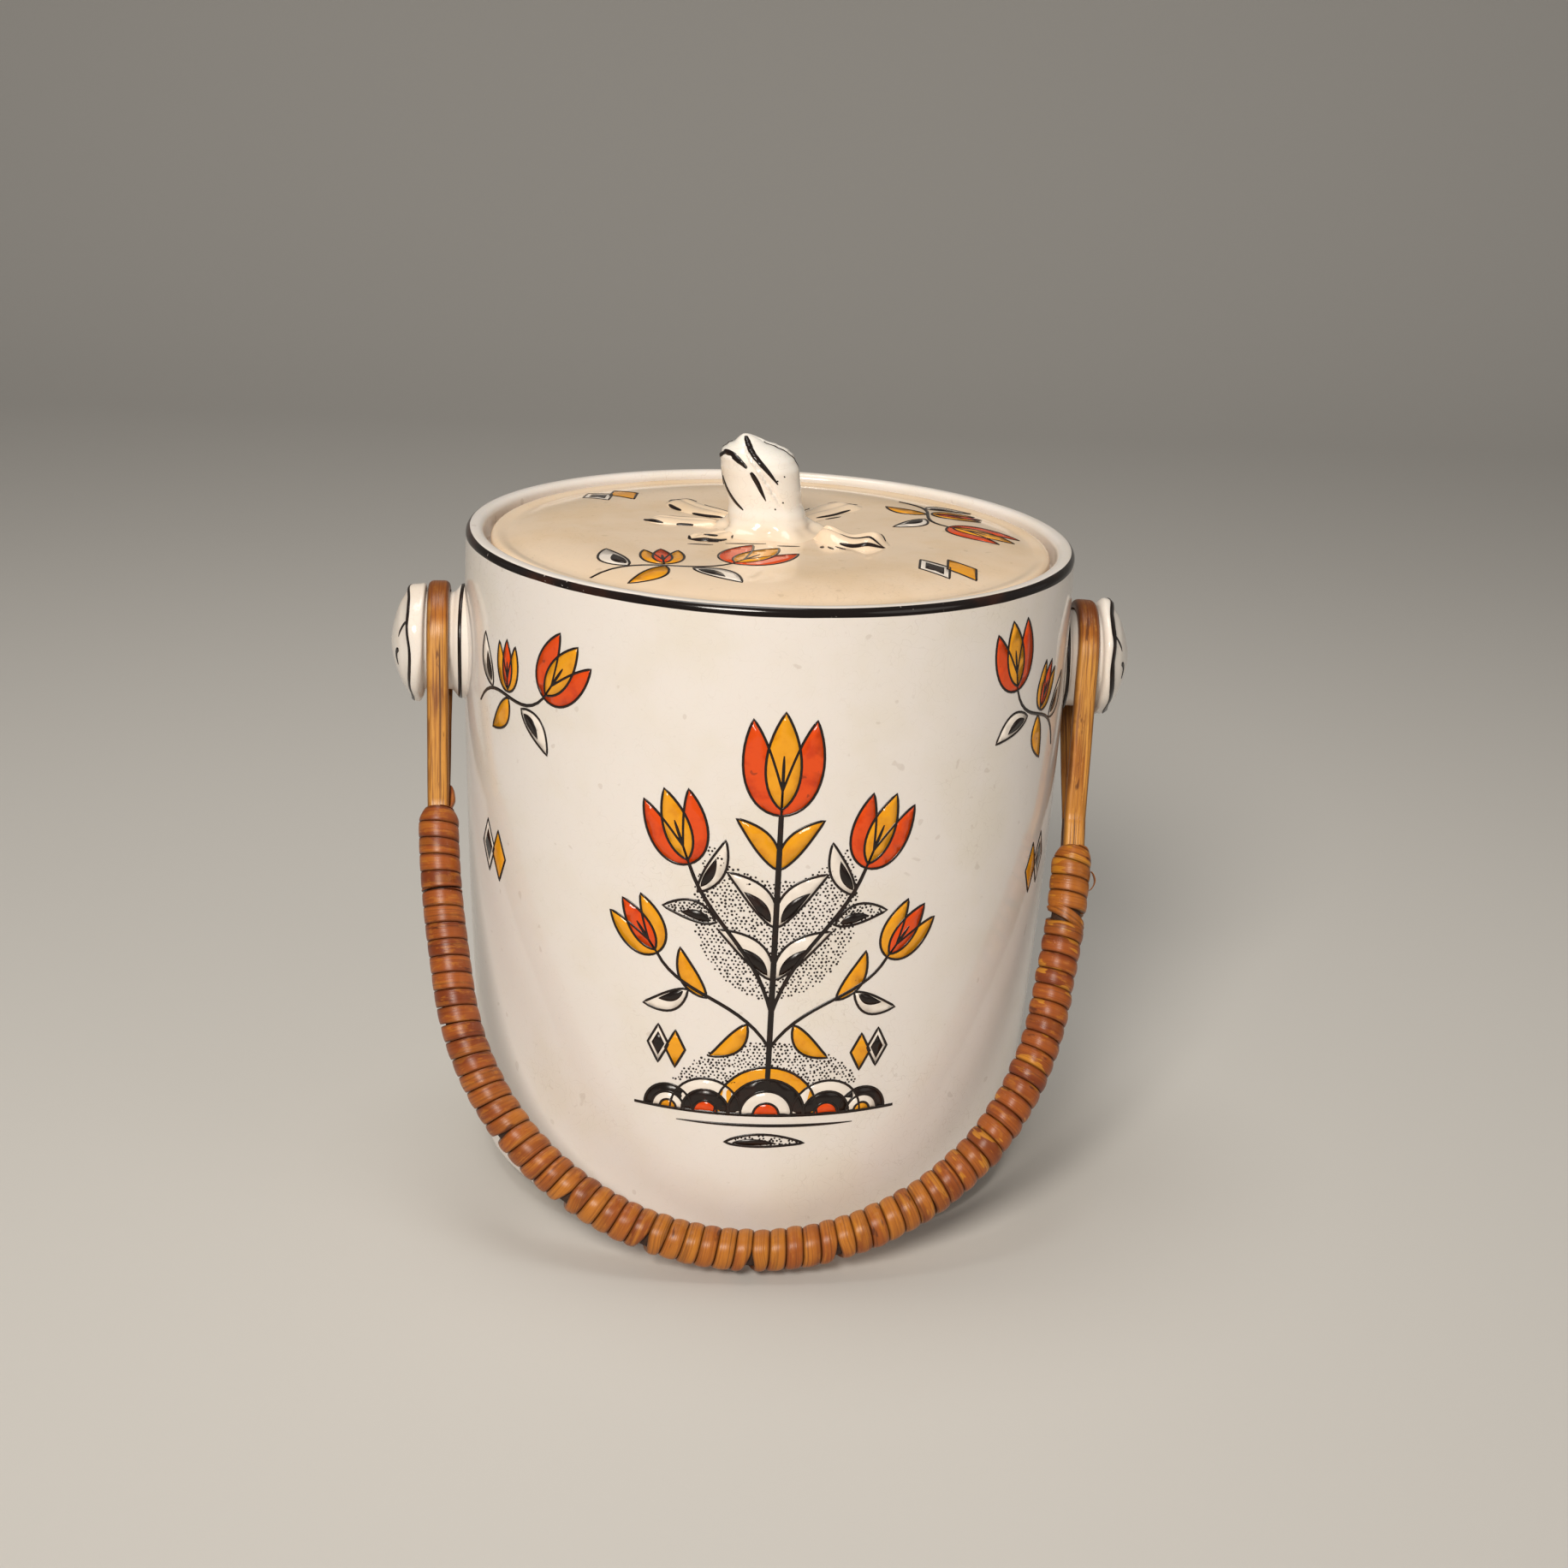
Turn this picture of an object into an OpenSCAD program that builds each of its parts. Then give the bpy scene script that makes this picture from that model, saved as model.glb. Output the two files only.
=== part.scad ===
// Lidded jar with a swing handle: glazed earthenware body, lid and lugs, cane-bound bail.
// Millimetres. +Z up, origin at the centre of the foot, lugs along X, front towards -Y.

/* [Jar body] */
// outside diameter at the rim
rim_d = 136; // [110:1:170]
// height of the rim above the table
body_h = 148; // [120:1:190]
// outside diameter the side wall runs down to
base_d = 123.6; // [100:0.2:150]
// how far the side bows out from a straight line
wall_bow = 1.9; // [0:0.1:3]
// thickness of the side wall
wall = 4.5; // [3:0.1:7]
// thickness of the floor
floor_t = 5.5; // [3:0.1:8]
// outside radius of the bottom bend
bend_r = 4; // [3:0.5:14]
// inside radius of the bottom bend
inner_bend_r = 6; // [3:0.5:10]

/* [Foot ring] */
// outside diameter of the foot ring
foot_d = 105; // [80:1:120]
// height of the foot ring under the body
foot_h = 2; // [1:0.1:4]
// width of the foot ring
foot_w = 4; // [2:0.1:7]

/* [Mouth and seat] */
// wall thickness at the mouth, above the seat
mouth_wall = 4; // [3:0.1:6]
// how far the seat reaches in from the mouth
seat_w = 5.5; // [3:0.1:8]
// thickness of the seat at its free edge
seat_t = 3; // [2:0.1:5]
// radius of the rounded crest of the rim
crest_r = 1.6; // [0.8:0.1:1.9]

/* [Lid] */
// thickness of the lid at its edge
lid_t = 4.5; // [3:0.1:7]
// how far the lid edge lies below the rim crest
lid_sink = 1.4; // [0:0.1:3]
// gap all round between the lid and the mouth
lid_gap = 1.5; // [0.6:0.1:3]
// gap between the lid and the seat it rests on
lid_rest_gap = 0.3; // [0.3:0.05:1]
// rise of the middle of the lid above its edge
lid_rise = 1.7; // [0.5:0.1:5]
// diameter of the flat middle of the lid
lid_flat_d = 80; // [40:1:90]
// radius of the rounded bead along the lid edge
lid_bead_r = 1.3; // [0.5:0.1:2]
// depth of the locating ring under the lid
skirt_h = 5; // [3:0.1:9]
// width of the locating ring
skirt_w = 3; // [2:0.1:5]
// gap between the locating ring and the seat
skirt_gap = 1; // [0.5:0.1:2]

/* [Bud knob] */
// height of the knob above the lid
knob_h = 21.5; // [15:0.5:30]
// width of the knob at its belly
knob_d = 17; // [12:0.5:24]
// width of the knob where it meets the lid
knob_foot_d = 19; // [14:0.5:26]
// lean of the knob to the left, degrees
knob_lean = 6; // [0:1:12]
// how far the knob stands to the left of the middle
knob_off = 1.2; // [0:0.1:3]
// gap between the knob foot and the leaf roots
leaf_root_gap = 0.6; // [0.3:0.1:2]

/* [Leaves on the lid] */
// height of the low leaves
leaf_h = 1; // [0.5:0.1:2]
// width of the low leaves
leaf_w = 9; // [6:0.5:12]
// length of the leaf at the back on the left
back_left_l = 24; // [15:0.5:28]
// length of the leaf at the back on the right
back_right_l = 25; // [15:0.5:28]
// length of the leaf on the left
left_l = 18; // [12:0.5:26]
// length of the small leaf in front on the left
small_leaf_l = 11; // [8:0.5:18]
// width of the small leaf
small_leaf_w = 8; // [5:0.5:10]
// length of the raised leaf in front on the right
bold_leaf_l = 18; // [12:0.5:26]
// width of the raised leaf
bold_leaf_w = 12; // [8:0.5:15]
// height of the raised leaf
bold_leaf_h = 2.6; // [1:0.1:4]

/* [Lugs] */
// depth of the lug axis below the rim
lug_drop = 27.5; // [20:0.5:40]
// diameter of the collar against the body
collar_d = 25.6; // [18:0.2:32]
// diameter of the neck that carries the handle
neck_d = 22; // [10:0.5:24]
// diameter of the outer cap
cap_d = 26; // [20:0.5:34]
// thickness of the cap rim band
cap_band = 3; // [2:0.1:7]
// height of the cap dome outside the band
cap_dome = 4.4; // [2:0.1:6]
// rounding of the cap and collar edges
lug_round = 1.1; // [0.5:0.1:2]

/* [Cane handle] */
// gap between the resting grip and the foot of the side wall
front_gap = 4.4; // [2:0.1:20]
// least distance from the fullest part of the side to the line the loops are set from
belly_clear = 4; // [2:0.1:8]
// distance from the rim line out to the middle of the left loop
left_loop_out = 5.6; // [4:0.1:9]
// distance from the rim line out to the middle of the right loop
right_loop_out = 4; // [4:0.1:9]
// lean of the left loop, then of the left leg below it, degrees
left_lean = 1.6; // [0:0.1:4]
left_leg_lean = 9.5; // [5:0.5:14]
// lean of the right loop, then of the right leg below it, degrees
right_lean = 2.9; // [0:0.1:4]
right_leg_lean = 12; // [5:0.5:14]
// bend radius of the cane where the legs turn in
shoulder_r = 220; // [100:5:260]
// distance from the lug axis to where the two strips of a loop meet
meet = 38; // [30:0.5:50]
// width of the split cane strip of the loops
strip_w = 4.8; // [4:0.1:8]
// thickness of the split cane strip
strip_t = 2; // [1.5:0.1:3]
// rounding of the two outer edges of the strip
strip_round = 1.2; // [0.5:0.1:1.5]
// thickness of the tongue that the strips hold between them
tongue_t = 1.6; // [1:0.1:2.5]
// length of the strips and tongue held under the binding
lap = 18; // [10:1:30]
// running clearance of a loop round its neck
loop_clear = 0.4; // [0.2:0.05:1]
// clearance of a leaning loop to the collar and the cap
loop_side = 0.3; // [0.3:0.05:1]
// clearance of the binding cane round the core
bind_clear = 0.1; // [0.05:0.05:0.3]
// thickness of the binding cane
bind_t = 1.15; // [0.8:0.05:2]
// extra thickness of the binding at the grip
grip_swell = 0.1; // [0:0.1:1.5]
// width of one turn of the binding cane
turn_w = 3.7; // [2.5:0.1:6]
// depth of the groove between turns
groove = 0.45; // [0.2:0.05:0.8]
// bare strip between the meeting point and the left binding
bare_left = 0.8; // [0.5:0.1:8]
// bare strip between the meeting point and the right binding
bare_right = 6.5; // [0.5:0.1:8]
// number of turns in the left whipping and in the right one
left_turns = 5; // [2:1:6]
right_turns = 4; // [2:1:6]
// gap between the left whipping and the main binding
left_gap = 0.4; // [0.4:0.1:3]
// gap on the right, where the cane crosses over
right_gap = 3; // [0.4:0.1:4]
// width and thickness of the tucked ends of the binding
tuck_w = 2.8; // [2:0.1:4]
tuck_t = 0.9; // [0.5:0.1:1.5]
// free length of the tucked ends
tuck_l = 4.4; // [2:0.1:6]
// gap between a tucked end and the cane it lies on
tuck_gap = 0.1; // [0.05:0.05:0.3]
// height the resting grip keeps above the table
table_gap = 1.2; // [0.2:0.1:2]

/* [Hidden] */
$fn = 96;
rim_r = rim_d / 2;
lug_z = body_h - lug_drop;
base_r = base_d / 2;
foot_r = foot_d / 2;
mouth_r = rim_r - mouth_wall;
seat_r = mouth_r - seat_w;
seat_z = body_h - lid_sink - lid_t - lid_rest_gap;
lid_under = seat_z + lid_rest_gap;
lid_edge_z = lid_under + lid_t;
lid_top = lid_edge_z + lid_rise;
lid_r = mouth_r - lid_gap;
skirt_r = seat_r - skirt_gap;
knob_r = knob_d / 2;
knob_foot_r = knob_foot_d / 2;
neck_r = neck_d / 2;
loop_r = neck_r + loop_clear;
widest_r = max(rim_r, base_r + wall_bow + belly_clear);
left_x = widest_r + left_loop_out;                 // middle of each loop on the lug axis
right_x = widest_r + right_loop_out;
tongue_y = tongue_t / 2;
corner_x = strip_w / 2 - strip_round;              // the core is as thick as strips and tongue
corner_y = tongue_y + strip_t - strip_round;
core_r = sqrt(corner_x * corner_x + corner_y * corner_y) + strip_round;
bind_in = core_r + bind_clear;
bind_r = bind_in + bind_t;
grip_r = bind_r + grip_swell;
front_y = base_r + front_gap + grip_r;             // resting grip, in front of the axis
rest_drop = lug_z - grip_r - table_gap;            // and below the lugs
reach = sqrt(front_y * front_y + rest_drop * rest_drop);
slim = 0.02;        // straight stretches of the handle are thinner than its bends by this
merge = 0.2;        // and run into them by this, so each piece is one solid

// handle middle line: a gentle shoulder, a straight leg, one wide arc, and back up; heads are
// its directions at the cuts, from straight down, and xs, ss are its places there
heads = [left_lean, left_leg_lean, left_leg_lean, 180 - right_leg_lean, 180 - right_leg_lean,
         180 - right_lean];
left_start = [-left_x + meet * sin(left_lean), meet * cos(left_lean)];
right_start = [right_x - meet * sin(right_lean), meet * cos(right_lean)];
left_bend = left_start + shoulder_r * [cos(left_lean) - cos(left_leg_lean),
                                       sin(left_leg_lean) - sin(left_lean)];
right_bend = right_start + shoulder_r * [cos(right_leg_lean) - cos(right_lean),
                                         sin(right_leg_lean) - sin(right_lean)];
left_down = reach - left_bend[1];
right_down = reach - right_bend[1];
arc_r = (right_bend[0] - left_bend[0] - tan(left_leg_lean) * left_down - tan(right_leg_lean) * right_down)
        / (cos(left_leg_lean) + cos(right_leg_lean) - tan(left_leg_lean) * (1 - sin(left_leg_lean))
           - tan(right_leg_lean) * (1 - sin(right_leg_lean)));
left_run = (left_down - arc_r * (1 - sin(left_leg_lean))) / cos(left_leg_lean);
right_run = (right_down - arc_r * (1 - sin(right_leg_lean))) / cos(right_leg_lean);
left_arc = left_bend + left_run * [sin(left_leg_lean), cos(left_leg_lean)];
right_arc = right_bend + right_run * [-sin(right_leg_lean), cos(right_leg_lean)];
arc_x = left_arc[0] + arc_r * cos(left_leg_lean);
lens = [shoulder_r * (left_leg_lean - left_lean) * PI / 180, left_run,
        arc_r * (180 - left_leg_lean - right_leg_lean) * PI / 180, right_run,
        shoulder_r * (right_leg_lean - right_lean) * PI / 180];
cuts = [0, lens[0], lens[0] + lens[1], lens[0] + lens[1] + lens[2],
        lens[0] + lens[1] + lens[2] + lens[3], lens[0] + lens[1] + lens[2] + lens[3] + lens[4]];
len_all = cuts[5];
rest_deg = acos(rest_drop / reach);                // swing from straight down

// strips of a loop leave the neck on a tangent and meet at the tongue
meet_d = sqrt(tongue_y * tongue_y + meet * meet);
strip_lean = 90 - acos(loop_r / meet_d) - atan(tongue_y / meet);
strip_run = sqrt(meet_d * meet_d - loop_r * loop_r);

// binding: whippings at both ends and the long middle run
left_from = bare_left;
left_to = left_from + left_turns * turn_w;
right_to = len_all - bare_right;
right_from = right_to - right_turns * turn_w;
wrap_from = left_to + left_gap;
wrap_to = right_from - right_gap;
wrap_turns = round((wrap_to - wrap_from) / turn_w);

// knob outline: share of the height, share of the belly radius
bud_steps = 18;
clay = [0.93, 0.89, 0.80];
gold = [0.80, 0.55, 0.22];
rust = [0.66, 0.32, 0.10];
dark = [0.36, 0.20, 0.10];

// ---------- helpers ----------
function arc_pts(cx, cy, r, a0, a1, n) =
    [for (i = [0:n]) let (a = a0 + (a1 - a0) * i / n) [cx + r * cos(a), cy + r * sin(a)]];

// outside radius of the body at height z
function side_r(z) = let (t = z / body_h) base_r + (rim_r - base_r) * t + 4 * wall_bow * t * (1 - t);

// ring of revolution round Z from a 2D outline
module spun(pts) { rotate_extrude() polygon(pts); }

// ---------- jar ----------
module body_outside() {
    bend_z = foot_h + bend_r;
    bend_x = side_r(bend_z) - bend_r;
    steps = 14;
    spun(concat(
        [[0, foot_h], [bend_x, foot_h]],
        [for (p = arc_pts(bend_x, bend_z, bend_r, -80, -10, 7)) p],
        [for (i = [0:steps]) let (z = bend_z + (body_h - crest_r - bend_z) * i / steps) [side_r(z), z]],
        arc_pts(rim_r - crest_r, body_h - crest_r, crest_r, 15, 90, 5),
        [[0, body_h]]));
}

module body_inside() {
    low = foot_h + floor_t;
    bend_z = low + inner_bend_r;
    bend_x = side_r(bend_z) - wall - inner_bend_r;
    slope_z = seat_z - seat_t - seat_w;
    steps = 10;
    spun(concat(
        [[0, low], [bend_x, low]],
        arc_pts(bend_x, bend_z, inner_bend_r, -80, -10, 7),
        [for (i = [0:steps]) let (z = bend_z + (slope_z - bend_z) * i / steps) [side_r(z) - wall, z]],
        [[seat_r, seat_z - seat_t], [seat_r, seat_z], [mouth_r, seat_z],
         [mouth_r, body_h - crest_r]],
        [for (i = [1:5]) let (a = 90 * i / 5)
            [mouth_r + crest_r * (1 - cos(a)), body_h - crest_r + crest_r * sin(a)]],
        [[mouth_r + crest_r, body_h + 1], [0, body_h + 1]]));
}

module foot_ring() {
    soft = foot_w / 4;
    spun([[foot_r - foot_w, foot_h + 0.5], [foot_r - foot_w, soft], [foot_r - foot_w + soft, 0],
          [foot_r - soft, 0], [foot_r, soft], [foot_r, foot_h + 0.5]]);
}

module jar_body() color(clay) {
    difference() {
        union() { body_outside(); foot_ring(); }
        body_inside();
    }
}

// spool turned round X: collar, neck and domed cap, with a groove for a loop that leans
module lug_spool(loop_x, lean) {
    cap_r = cap_d / 2;
    collar_r = collar_d / 2;
    slack = strip_w / 2 + loop_side + (loop_r + strip_t) * sin(lean);
    groove_in = loop_x - slack;
    groove_out = loop_x + slack;
    band_x = groove_out + cap_band;
    tip_x = band_x + cap_dome;
    dome_r = (cap_r * cap_r + cap_dome * cap_dome) / (2 * cap_dome);
    dome_a = asin((cap_r - lug_round) / dome_r);
    rotate([0, 90, 0]) rotate_extrude() polygon(concat(
        [[0, rim_r - collar_r], [collar_r, rim_r - collar_r]],
        arc_pts(collar_r - lug_round, groove_in - lug_round, lug_round, 0, 90, 5),
        [[neck_r, groove_in], [neck_r, groove_out]],
        arc_pts(cap_r - lug_round, groove_out + lug_round, lug_round, -90, 0, 5),
        arc_pts(cap_r - lug_round, band_x - lug_round, lug_round, 0, 45, 3),
        [for (i = [0:8]) let (a = dome_a * (8 - i) / 8) [dome_r * sin(a), tip_x - dome_r + dome_r * cos(a)]]));
}

module right_lug() color(clay) difference() {
    translate([0, 0, lug_z]) lug_spool(right_x, right_lean);
    body_outside();
}

module left_lug() color(clay) difference() {
    mirror([1, 0, 0]) translate([0, 0, lug_z]) lug_spool(left_x, left_lean);
    body_outside();
}

// ---------- lid ----------
module lid() color(clay) {
    flat_r = lid_flat_d / 2;
    dip_r = lid_r - 3 * lid_bead_r;
    dip_z = lid_edge_z - lid_bead_r / 3;
    run = dip_r - flat_r;
    spun(concat(
        [[0, lid_under], [skirt_r - skirt_w, lid_under], [skirt_r - skirt_w, lid_under - skirt_h],
         [skirt_r - skirt_w / 4, lid_under - skirt_h], [skirt_r, lid_under - skirt_h + skirt_w / 4],
         [skirt_r, lid_under], [lid_r - lid_bead_r, lid_under], [lid_r, lid_under + lid_bead_r]],
        arc_pts(lid_r - lid_bead_r, lid_edge_z - lid_bead_r, lid_bead_r, 0, 90, 6),
        [for (i = [0:6]) let (t = i / 6)
            [dip_r - run * t, dip_z + (lid_top - dip_z) * (1 - (1 - t) * (1 - t))]],
        [[0, lid_top]]));
}

module lid_knob() color(clay) {
    difference() {
        translate([-knob_off, 0, lid_top]) rotate([0, -knob_lean, 0]) rotate_extrude() polygon(concat(
            [[0, -2], [knob_foot_r, -2], [knob_foot_r, 0]],
            [for (i = [1:bud_steps]) let (t = i / bud_steps)
                [bud_r(t), knob_h * t]]));
        translate([-2 * knob_d, -2 * knob_d, lid_top - knob_h]) cube([4 * knob_d, 4 * knob_d, knob_h]);
    }
}

// flare at the foot, waist, belly and a blunt tip
function bud_r(t) = (knob_foot_r - knob_r) * pow(1 - t, 12) +
    knob_r * (t < 0.62 ? 1 - 0.05 * pow(cos(180 * (t - 0.1)), 2)
                       : (0.985 + 0.015 * cos(180 * (t - 0.62) / 0.1)) * sqrt(max(0, 1 - pow((t - 0.62) / 0.38, 2))));

// a pressed leaf: two arcs meeting at both ends, crowned both ways
module leaf(azimuth, from_r, long, wide, high) {
    side = (long * long / wide + wide) / 4;
    across = (wide * wide / 4 + high * high) / (2 * high);
    lengthwise = (long * long / 4 + high * high) / (2 * high);
    translate([0, 0, lid_top]) rotate([0, 0, azimuth]) translate([from_r + long / 2, 0, 0])
        intersection() {
            linear_extrude(height = high) intersection() {
                translate([0, side - wide / 2]) circle(r = side, $fn = 180);
                translate([0, wide / 2 - side]) circle(r = side, $fn = 180);
            }
            translate([0, 0, high - across]) rotate([0, 90, 0])
                cylinder(r = across, h = 2 * long, center = true, $fn = 180);
            translate([0, 0, high - lengthwise]) rotate([90, 0, 0])
                cylinder(r = lengthwise, h = 2 * wide, center = true, $fn = 720);
        }
}

leaf_root = knob_foot_r + knob_off + leaf_root_gap;
module leaf_back_left() color(clay) leaf(128, leaf_root, back_left_l, leaf_w, leaf_h);
module leaf_left() color(clay) leaf(168, leaf_root, left_l, leaf_w, leaf_h);
module leaf_front_left() color(clay) leaf(212, leaf_root, small_leaf_l, small_leaf_w, leaf_h);
module leaf_front_right() color(clay) leaf(-30, leaf_root, bold_leaf_l, bold_leaf_w, bold_leaf_h);
module leaf_back_right() color(clay) leaf(52, leaf_root, back_right_l, leaf_w, leaf_h);

// ---------- handle, drawn hanging straight down from the origin ----------
module hung() translate([0, 0, lug_z]) rotate([-rest_deg, 0, 0]) children();

// a stretch of the handle round centre (cx, -cs), given by middle-line radius and lengths
module bent(cx, cs, r, start_deg, from, to) {
    step = 180 / PI / r;
    translate([cx, 0, -cs]) rotate([90, 0, 0]) rotate([0, 0, start_deg + from * step])
        rotate_extrude(angle = (to - from) * step) translate([r, 0]) children();
}

// the 2D section carried along the middle line from length a to length b; straight
// stretches are a hair slimmer ($slim) and run a little way into the bends they join
module along(a, b) {
    lo = [for (i = [0:4]) max(a, cuts[i]) - cuts[i]];
    hi = [for (i = [0:4]) min(b, cuts[i + 1]) - cuts[i]];
    lead = [for (i = [0:4]) a < cuts[i] ? merge : 0];
    tail = [for (i = [0:4]) b > cuts[i + 1] ? merge : 0];
    $slim = 0;
    if (hi[0] > lo[0]) bent(left_start[0] + shoulder_r * cos(left_lean),
                            left_start[1] - shoulder_r * sin(left_lean), shoulder_r, 180 + heads[0], lo[0], hi[0])
        children();
    if (hi[1] > lo[1]) straight(left_bend[0], left_bend[1], 180 - heads[1], lo[1] - lead[1], hi[1] + tail[1])
        children();
    if (hi[2] > lo[2]) bent(arc_x, reach - arc_r, arc_r, 180 + heads[2], lo[2], hi[2]) children();
    if (hi[3] > lo[3]) straight(right_arc[0], right_arc[1], 180 - heads[3], lo[3] - lead[3], hi[3] + tail[3])
        children();
    if (hi[4] > lo[4]) bent(right_start[0] - shoulder_r * cos(right_lean),
                            right_start[1] - shoulder_r * sin(right_lean), shoulder_r, 180 + heads[4], lo[4], hi[4])
        children();
}

module straight(x, s, tilt, from, to) {
    $slim = slim;
    translate([x, 0, -s]) rotate([0, tilt, 0]) translate([0, 0, from])
        linear_extrude(height = to - from) children();
}

module rod_2d(r) circle(r = r - $slim, $fn = 48);
module ring_2d(r_in, r_out) difference() {
    circle(r = r_out - $slim, $fn = 48);
    circle(r = r_in + $slim, $fn = 48);
}
module tongue_2d() square([strip_w - 2 * $slim, tongue_t - 2 * $slim], center = true);

// split cane: flat side on y = 0, rounded side up
module split_2d() {
    side = strip_w / 2 - $slim;
    top = strip_t - $slim;
    polygon(concat([[side, $slim]], arc_pts(side - strip_round, top - strip_round, strip_round, 0, 90, 5),
        arc_pts(strip_round - side, top - strip_round, strip_round, 90, 180, 5), [[-side, $slim]]));
}
module strip_pair() for (side = [0, 1]) mirror([0, side]) translate([0, tongue_y]) split_2d();

module handle_core() color(dark) hung() {
    along(lap, len_all - lap) rod_2d(core_r);
    along(0, lap + merge) tongue_2d();
    along(len_all - lap - merge, len_all) tongue_2d();
}

// strip over the neck, its two legs and the short roots where they come together
module loop_over_neck() {
    $slim = slim;
    for (side = [0, 1]) mirror([0, side, 0]) {
        rotate([-strip_lean, 0, 0]) translate([0, loop_r, -strip_run])
            linear_extrude(height = strip_run + merge) split_2d();
        translate([0, tongue_y, -meet - merge]) linear_extrude(height = 4 * merge) split_2d();
    }
    rotate([-strip_lean, 0, 0]) rotate([90, 0, 90]) neck_turn();
}

module neck_turn() {
    $slim = 0;
    rotate_extrude(angle = 180 + 2 * strip_lean) translate([loop_r, 0]) rotate([0, 0, -90]) split_2d();
}

module left_loop() color(gold) hung() {
    translate([-left_x, 0, 0]) rotate([0, -left_lean, 0]) loop_over_neck();
    along(0, lap) strip_pair();
}

module right_loop() color(gold) hung() {
    translate([right_x, 0, 0]) rotate([0, right_lean, 0]) loop_over_neck();
    along(len_all - lap, len_all) strip_pair();
}

// binding from a to b: a thin sleeve carries the turns, with a groove between them
function turn_r(s) = bind_r + grip_swell * pow(sin(180 * s / len_all), 2);
module binding(a, b, turns) {
    step = (b - a) / turns;
    slot = groove / 2;
    along(a, b) ring_2d(bind_in, bind_r - groove);
    for (i = [0:turns - 1]) {
        along(a + step * i + slot / 2, a + step * (i + 1) - slot / 2)
            ring_2d(bind_in + bind_t / 3, turn_r(a + step * (i + 0.5)));
    }
}

module left_whipping() color(rust) hung() binding(left_from, left_to, left_turns);
module right_whipping() color(rust) hung() binding(right_from, right_to, right_turns);
module cane_wrap() color(rust) hung() binding(wrap_from, wrap_to, wrap_turns);

// cut ends of the binding cane: one on the inner edge of the left strips, above the binding,
// and one on the outer side of the right whipping, two turns down
module left_tuck() color(rust) hung()
    translate([-left_x, 0, 0]) rotate([0, -left_lean, 0])
        translate([strip_w / 2 + tuck_gap + tuck_t / 2, 0, tuck_l / 2 - meet])
            cube([tuck_t, tuck_w, tuck_l], center = true);
module right_tuck() color(rust) hung()
    translate([right_start[0], 0, -right_start[1]]) rotate([0, right_lean, 0])
        translate([turn_r(len_all) + tuck_gap + tuck_t / 2, 0, -bare_right - 2 * turn_w])
            cube([tuck_t, tuck_w, tuck_l], center = true);

jar_body();
left_lug();
right_lug();
lid();
lid_knob();
leaf_back_left();
leaf_left();
leaf_front_left();
leaf_front_right();
leaf_back_right();
handle_core();
left_loop();
right_loop();
cane_wrap();
left_whipping();
right_whipping();
left_tuck();
right_tuck();
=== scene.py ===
"""Dressed model of a lidded jar with a cane-bound swing handle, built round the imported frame."""
import math
import random
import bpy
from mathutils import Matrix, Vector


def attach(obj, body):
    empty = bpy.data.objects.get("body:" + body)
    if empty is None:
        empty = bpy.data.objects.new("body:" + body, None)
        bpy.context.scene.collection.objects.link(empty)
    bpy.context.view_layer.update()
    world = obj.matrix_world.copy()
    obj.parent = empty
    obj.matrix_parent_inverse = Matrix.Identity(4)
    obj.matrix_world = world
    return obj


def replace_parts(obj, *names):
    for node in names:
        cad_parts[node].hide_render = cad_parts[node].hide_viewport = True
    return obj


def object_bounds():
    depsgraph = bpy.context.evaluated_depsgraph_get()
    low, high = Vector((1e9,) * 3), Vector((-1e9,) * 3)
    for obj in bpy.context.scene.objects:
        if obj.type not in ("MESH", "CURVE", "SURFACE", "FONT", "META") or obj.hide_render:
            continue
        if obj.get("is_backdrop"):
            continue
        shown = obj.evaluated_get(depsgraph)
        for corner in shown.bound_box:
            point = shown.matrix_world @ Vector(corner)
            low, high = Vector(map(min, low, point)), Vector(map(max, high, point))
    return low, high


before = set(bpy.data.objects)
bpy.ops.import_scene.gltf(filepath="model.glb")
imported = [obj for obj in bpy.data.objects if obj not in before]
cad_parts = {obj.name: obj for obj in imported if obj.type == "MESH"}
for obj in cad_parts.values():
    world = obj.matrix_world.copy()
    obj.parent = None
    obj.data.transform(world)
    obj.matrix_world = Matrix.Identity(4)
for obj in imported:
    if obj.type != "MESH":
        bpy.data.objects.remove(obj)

from types import SimpleNamespace

import bpy
from bpy.props import FloatProperty, FloatVectorProperty, IntProperty, PointerProperty
from bpy.types import Operator, Panel, PropertyGroup
from mathutils import Matrix, Vector, noise
from mathutils.geometry import delaunay_2d_cdt

bl_info = {
    "name": "Lidded jar with swing handle",
    "version": (1, 0, 0),
    "blender": (4, 5, 0),
    "location": "View3D > Sidebar > Jar",
    "description": "Builds a glazed earthenware jar, its lid, painted flowers and cane handle",
    "category": "Add Mesh",
}

MM = 0.001
UP = Vector((0, 0, 1))
PAINT_INSET = 1.0       # mm: the side is measured round at this much less than the rim's radius
SEAT_SLOPE = 5.5        # mm of slope under the lid's seat
AROUND = 144            # points round the bud and the lugs
HUB = 6.0               # mm: first ring of points round the axis of the lid and the underside
BURIED = 0.03           # mm: how deep the edges of the paint stand in the glaze
TURN_STEPS = 44         # sections in one turn of binding
TURN_RADIUS = 4.2       # mm: mean radius of the binding's surface
SNUG_RADII = (3.05, 3.8)    # mm: the whipping's surface over the bare strips, outward and sideways
LOOSE_RADIUS = 4.45     # mm: the whipping's surface where it isn't drawn down


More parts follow.
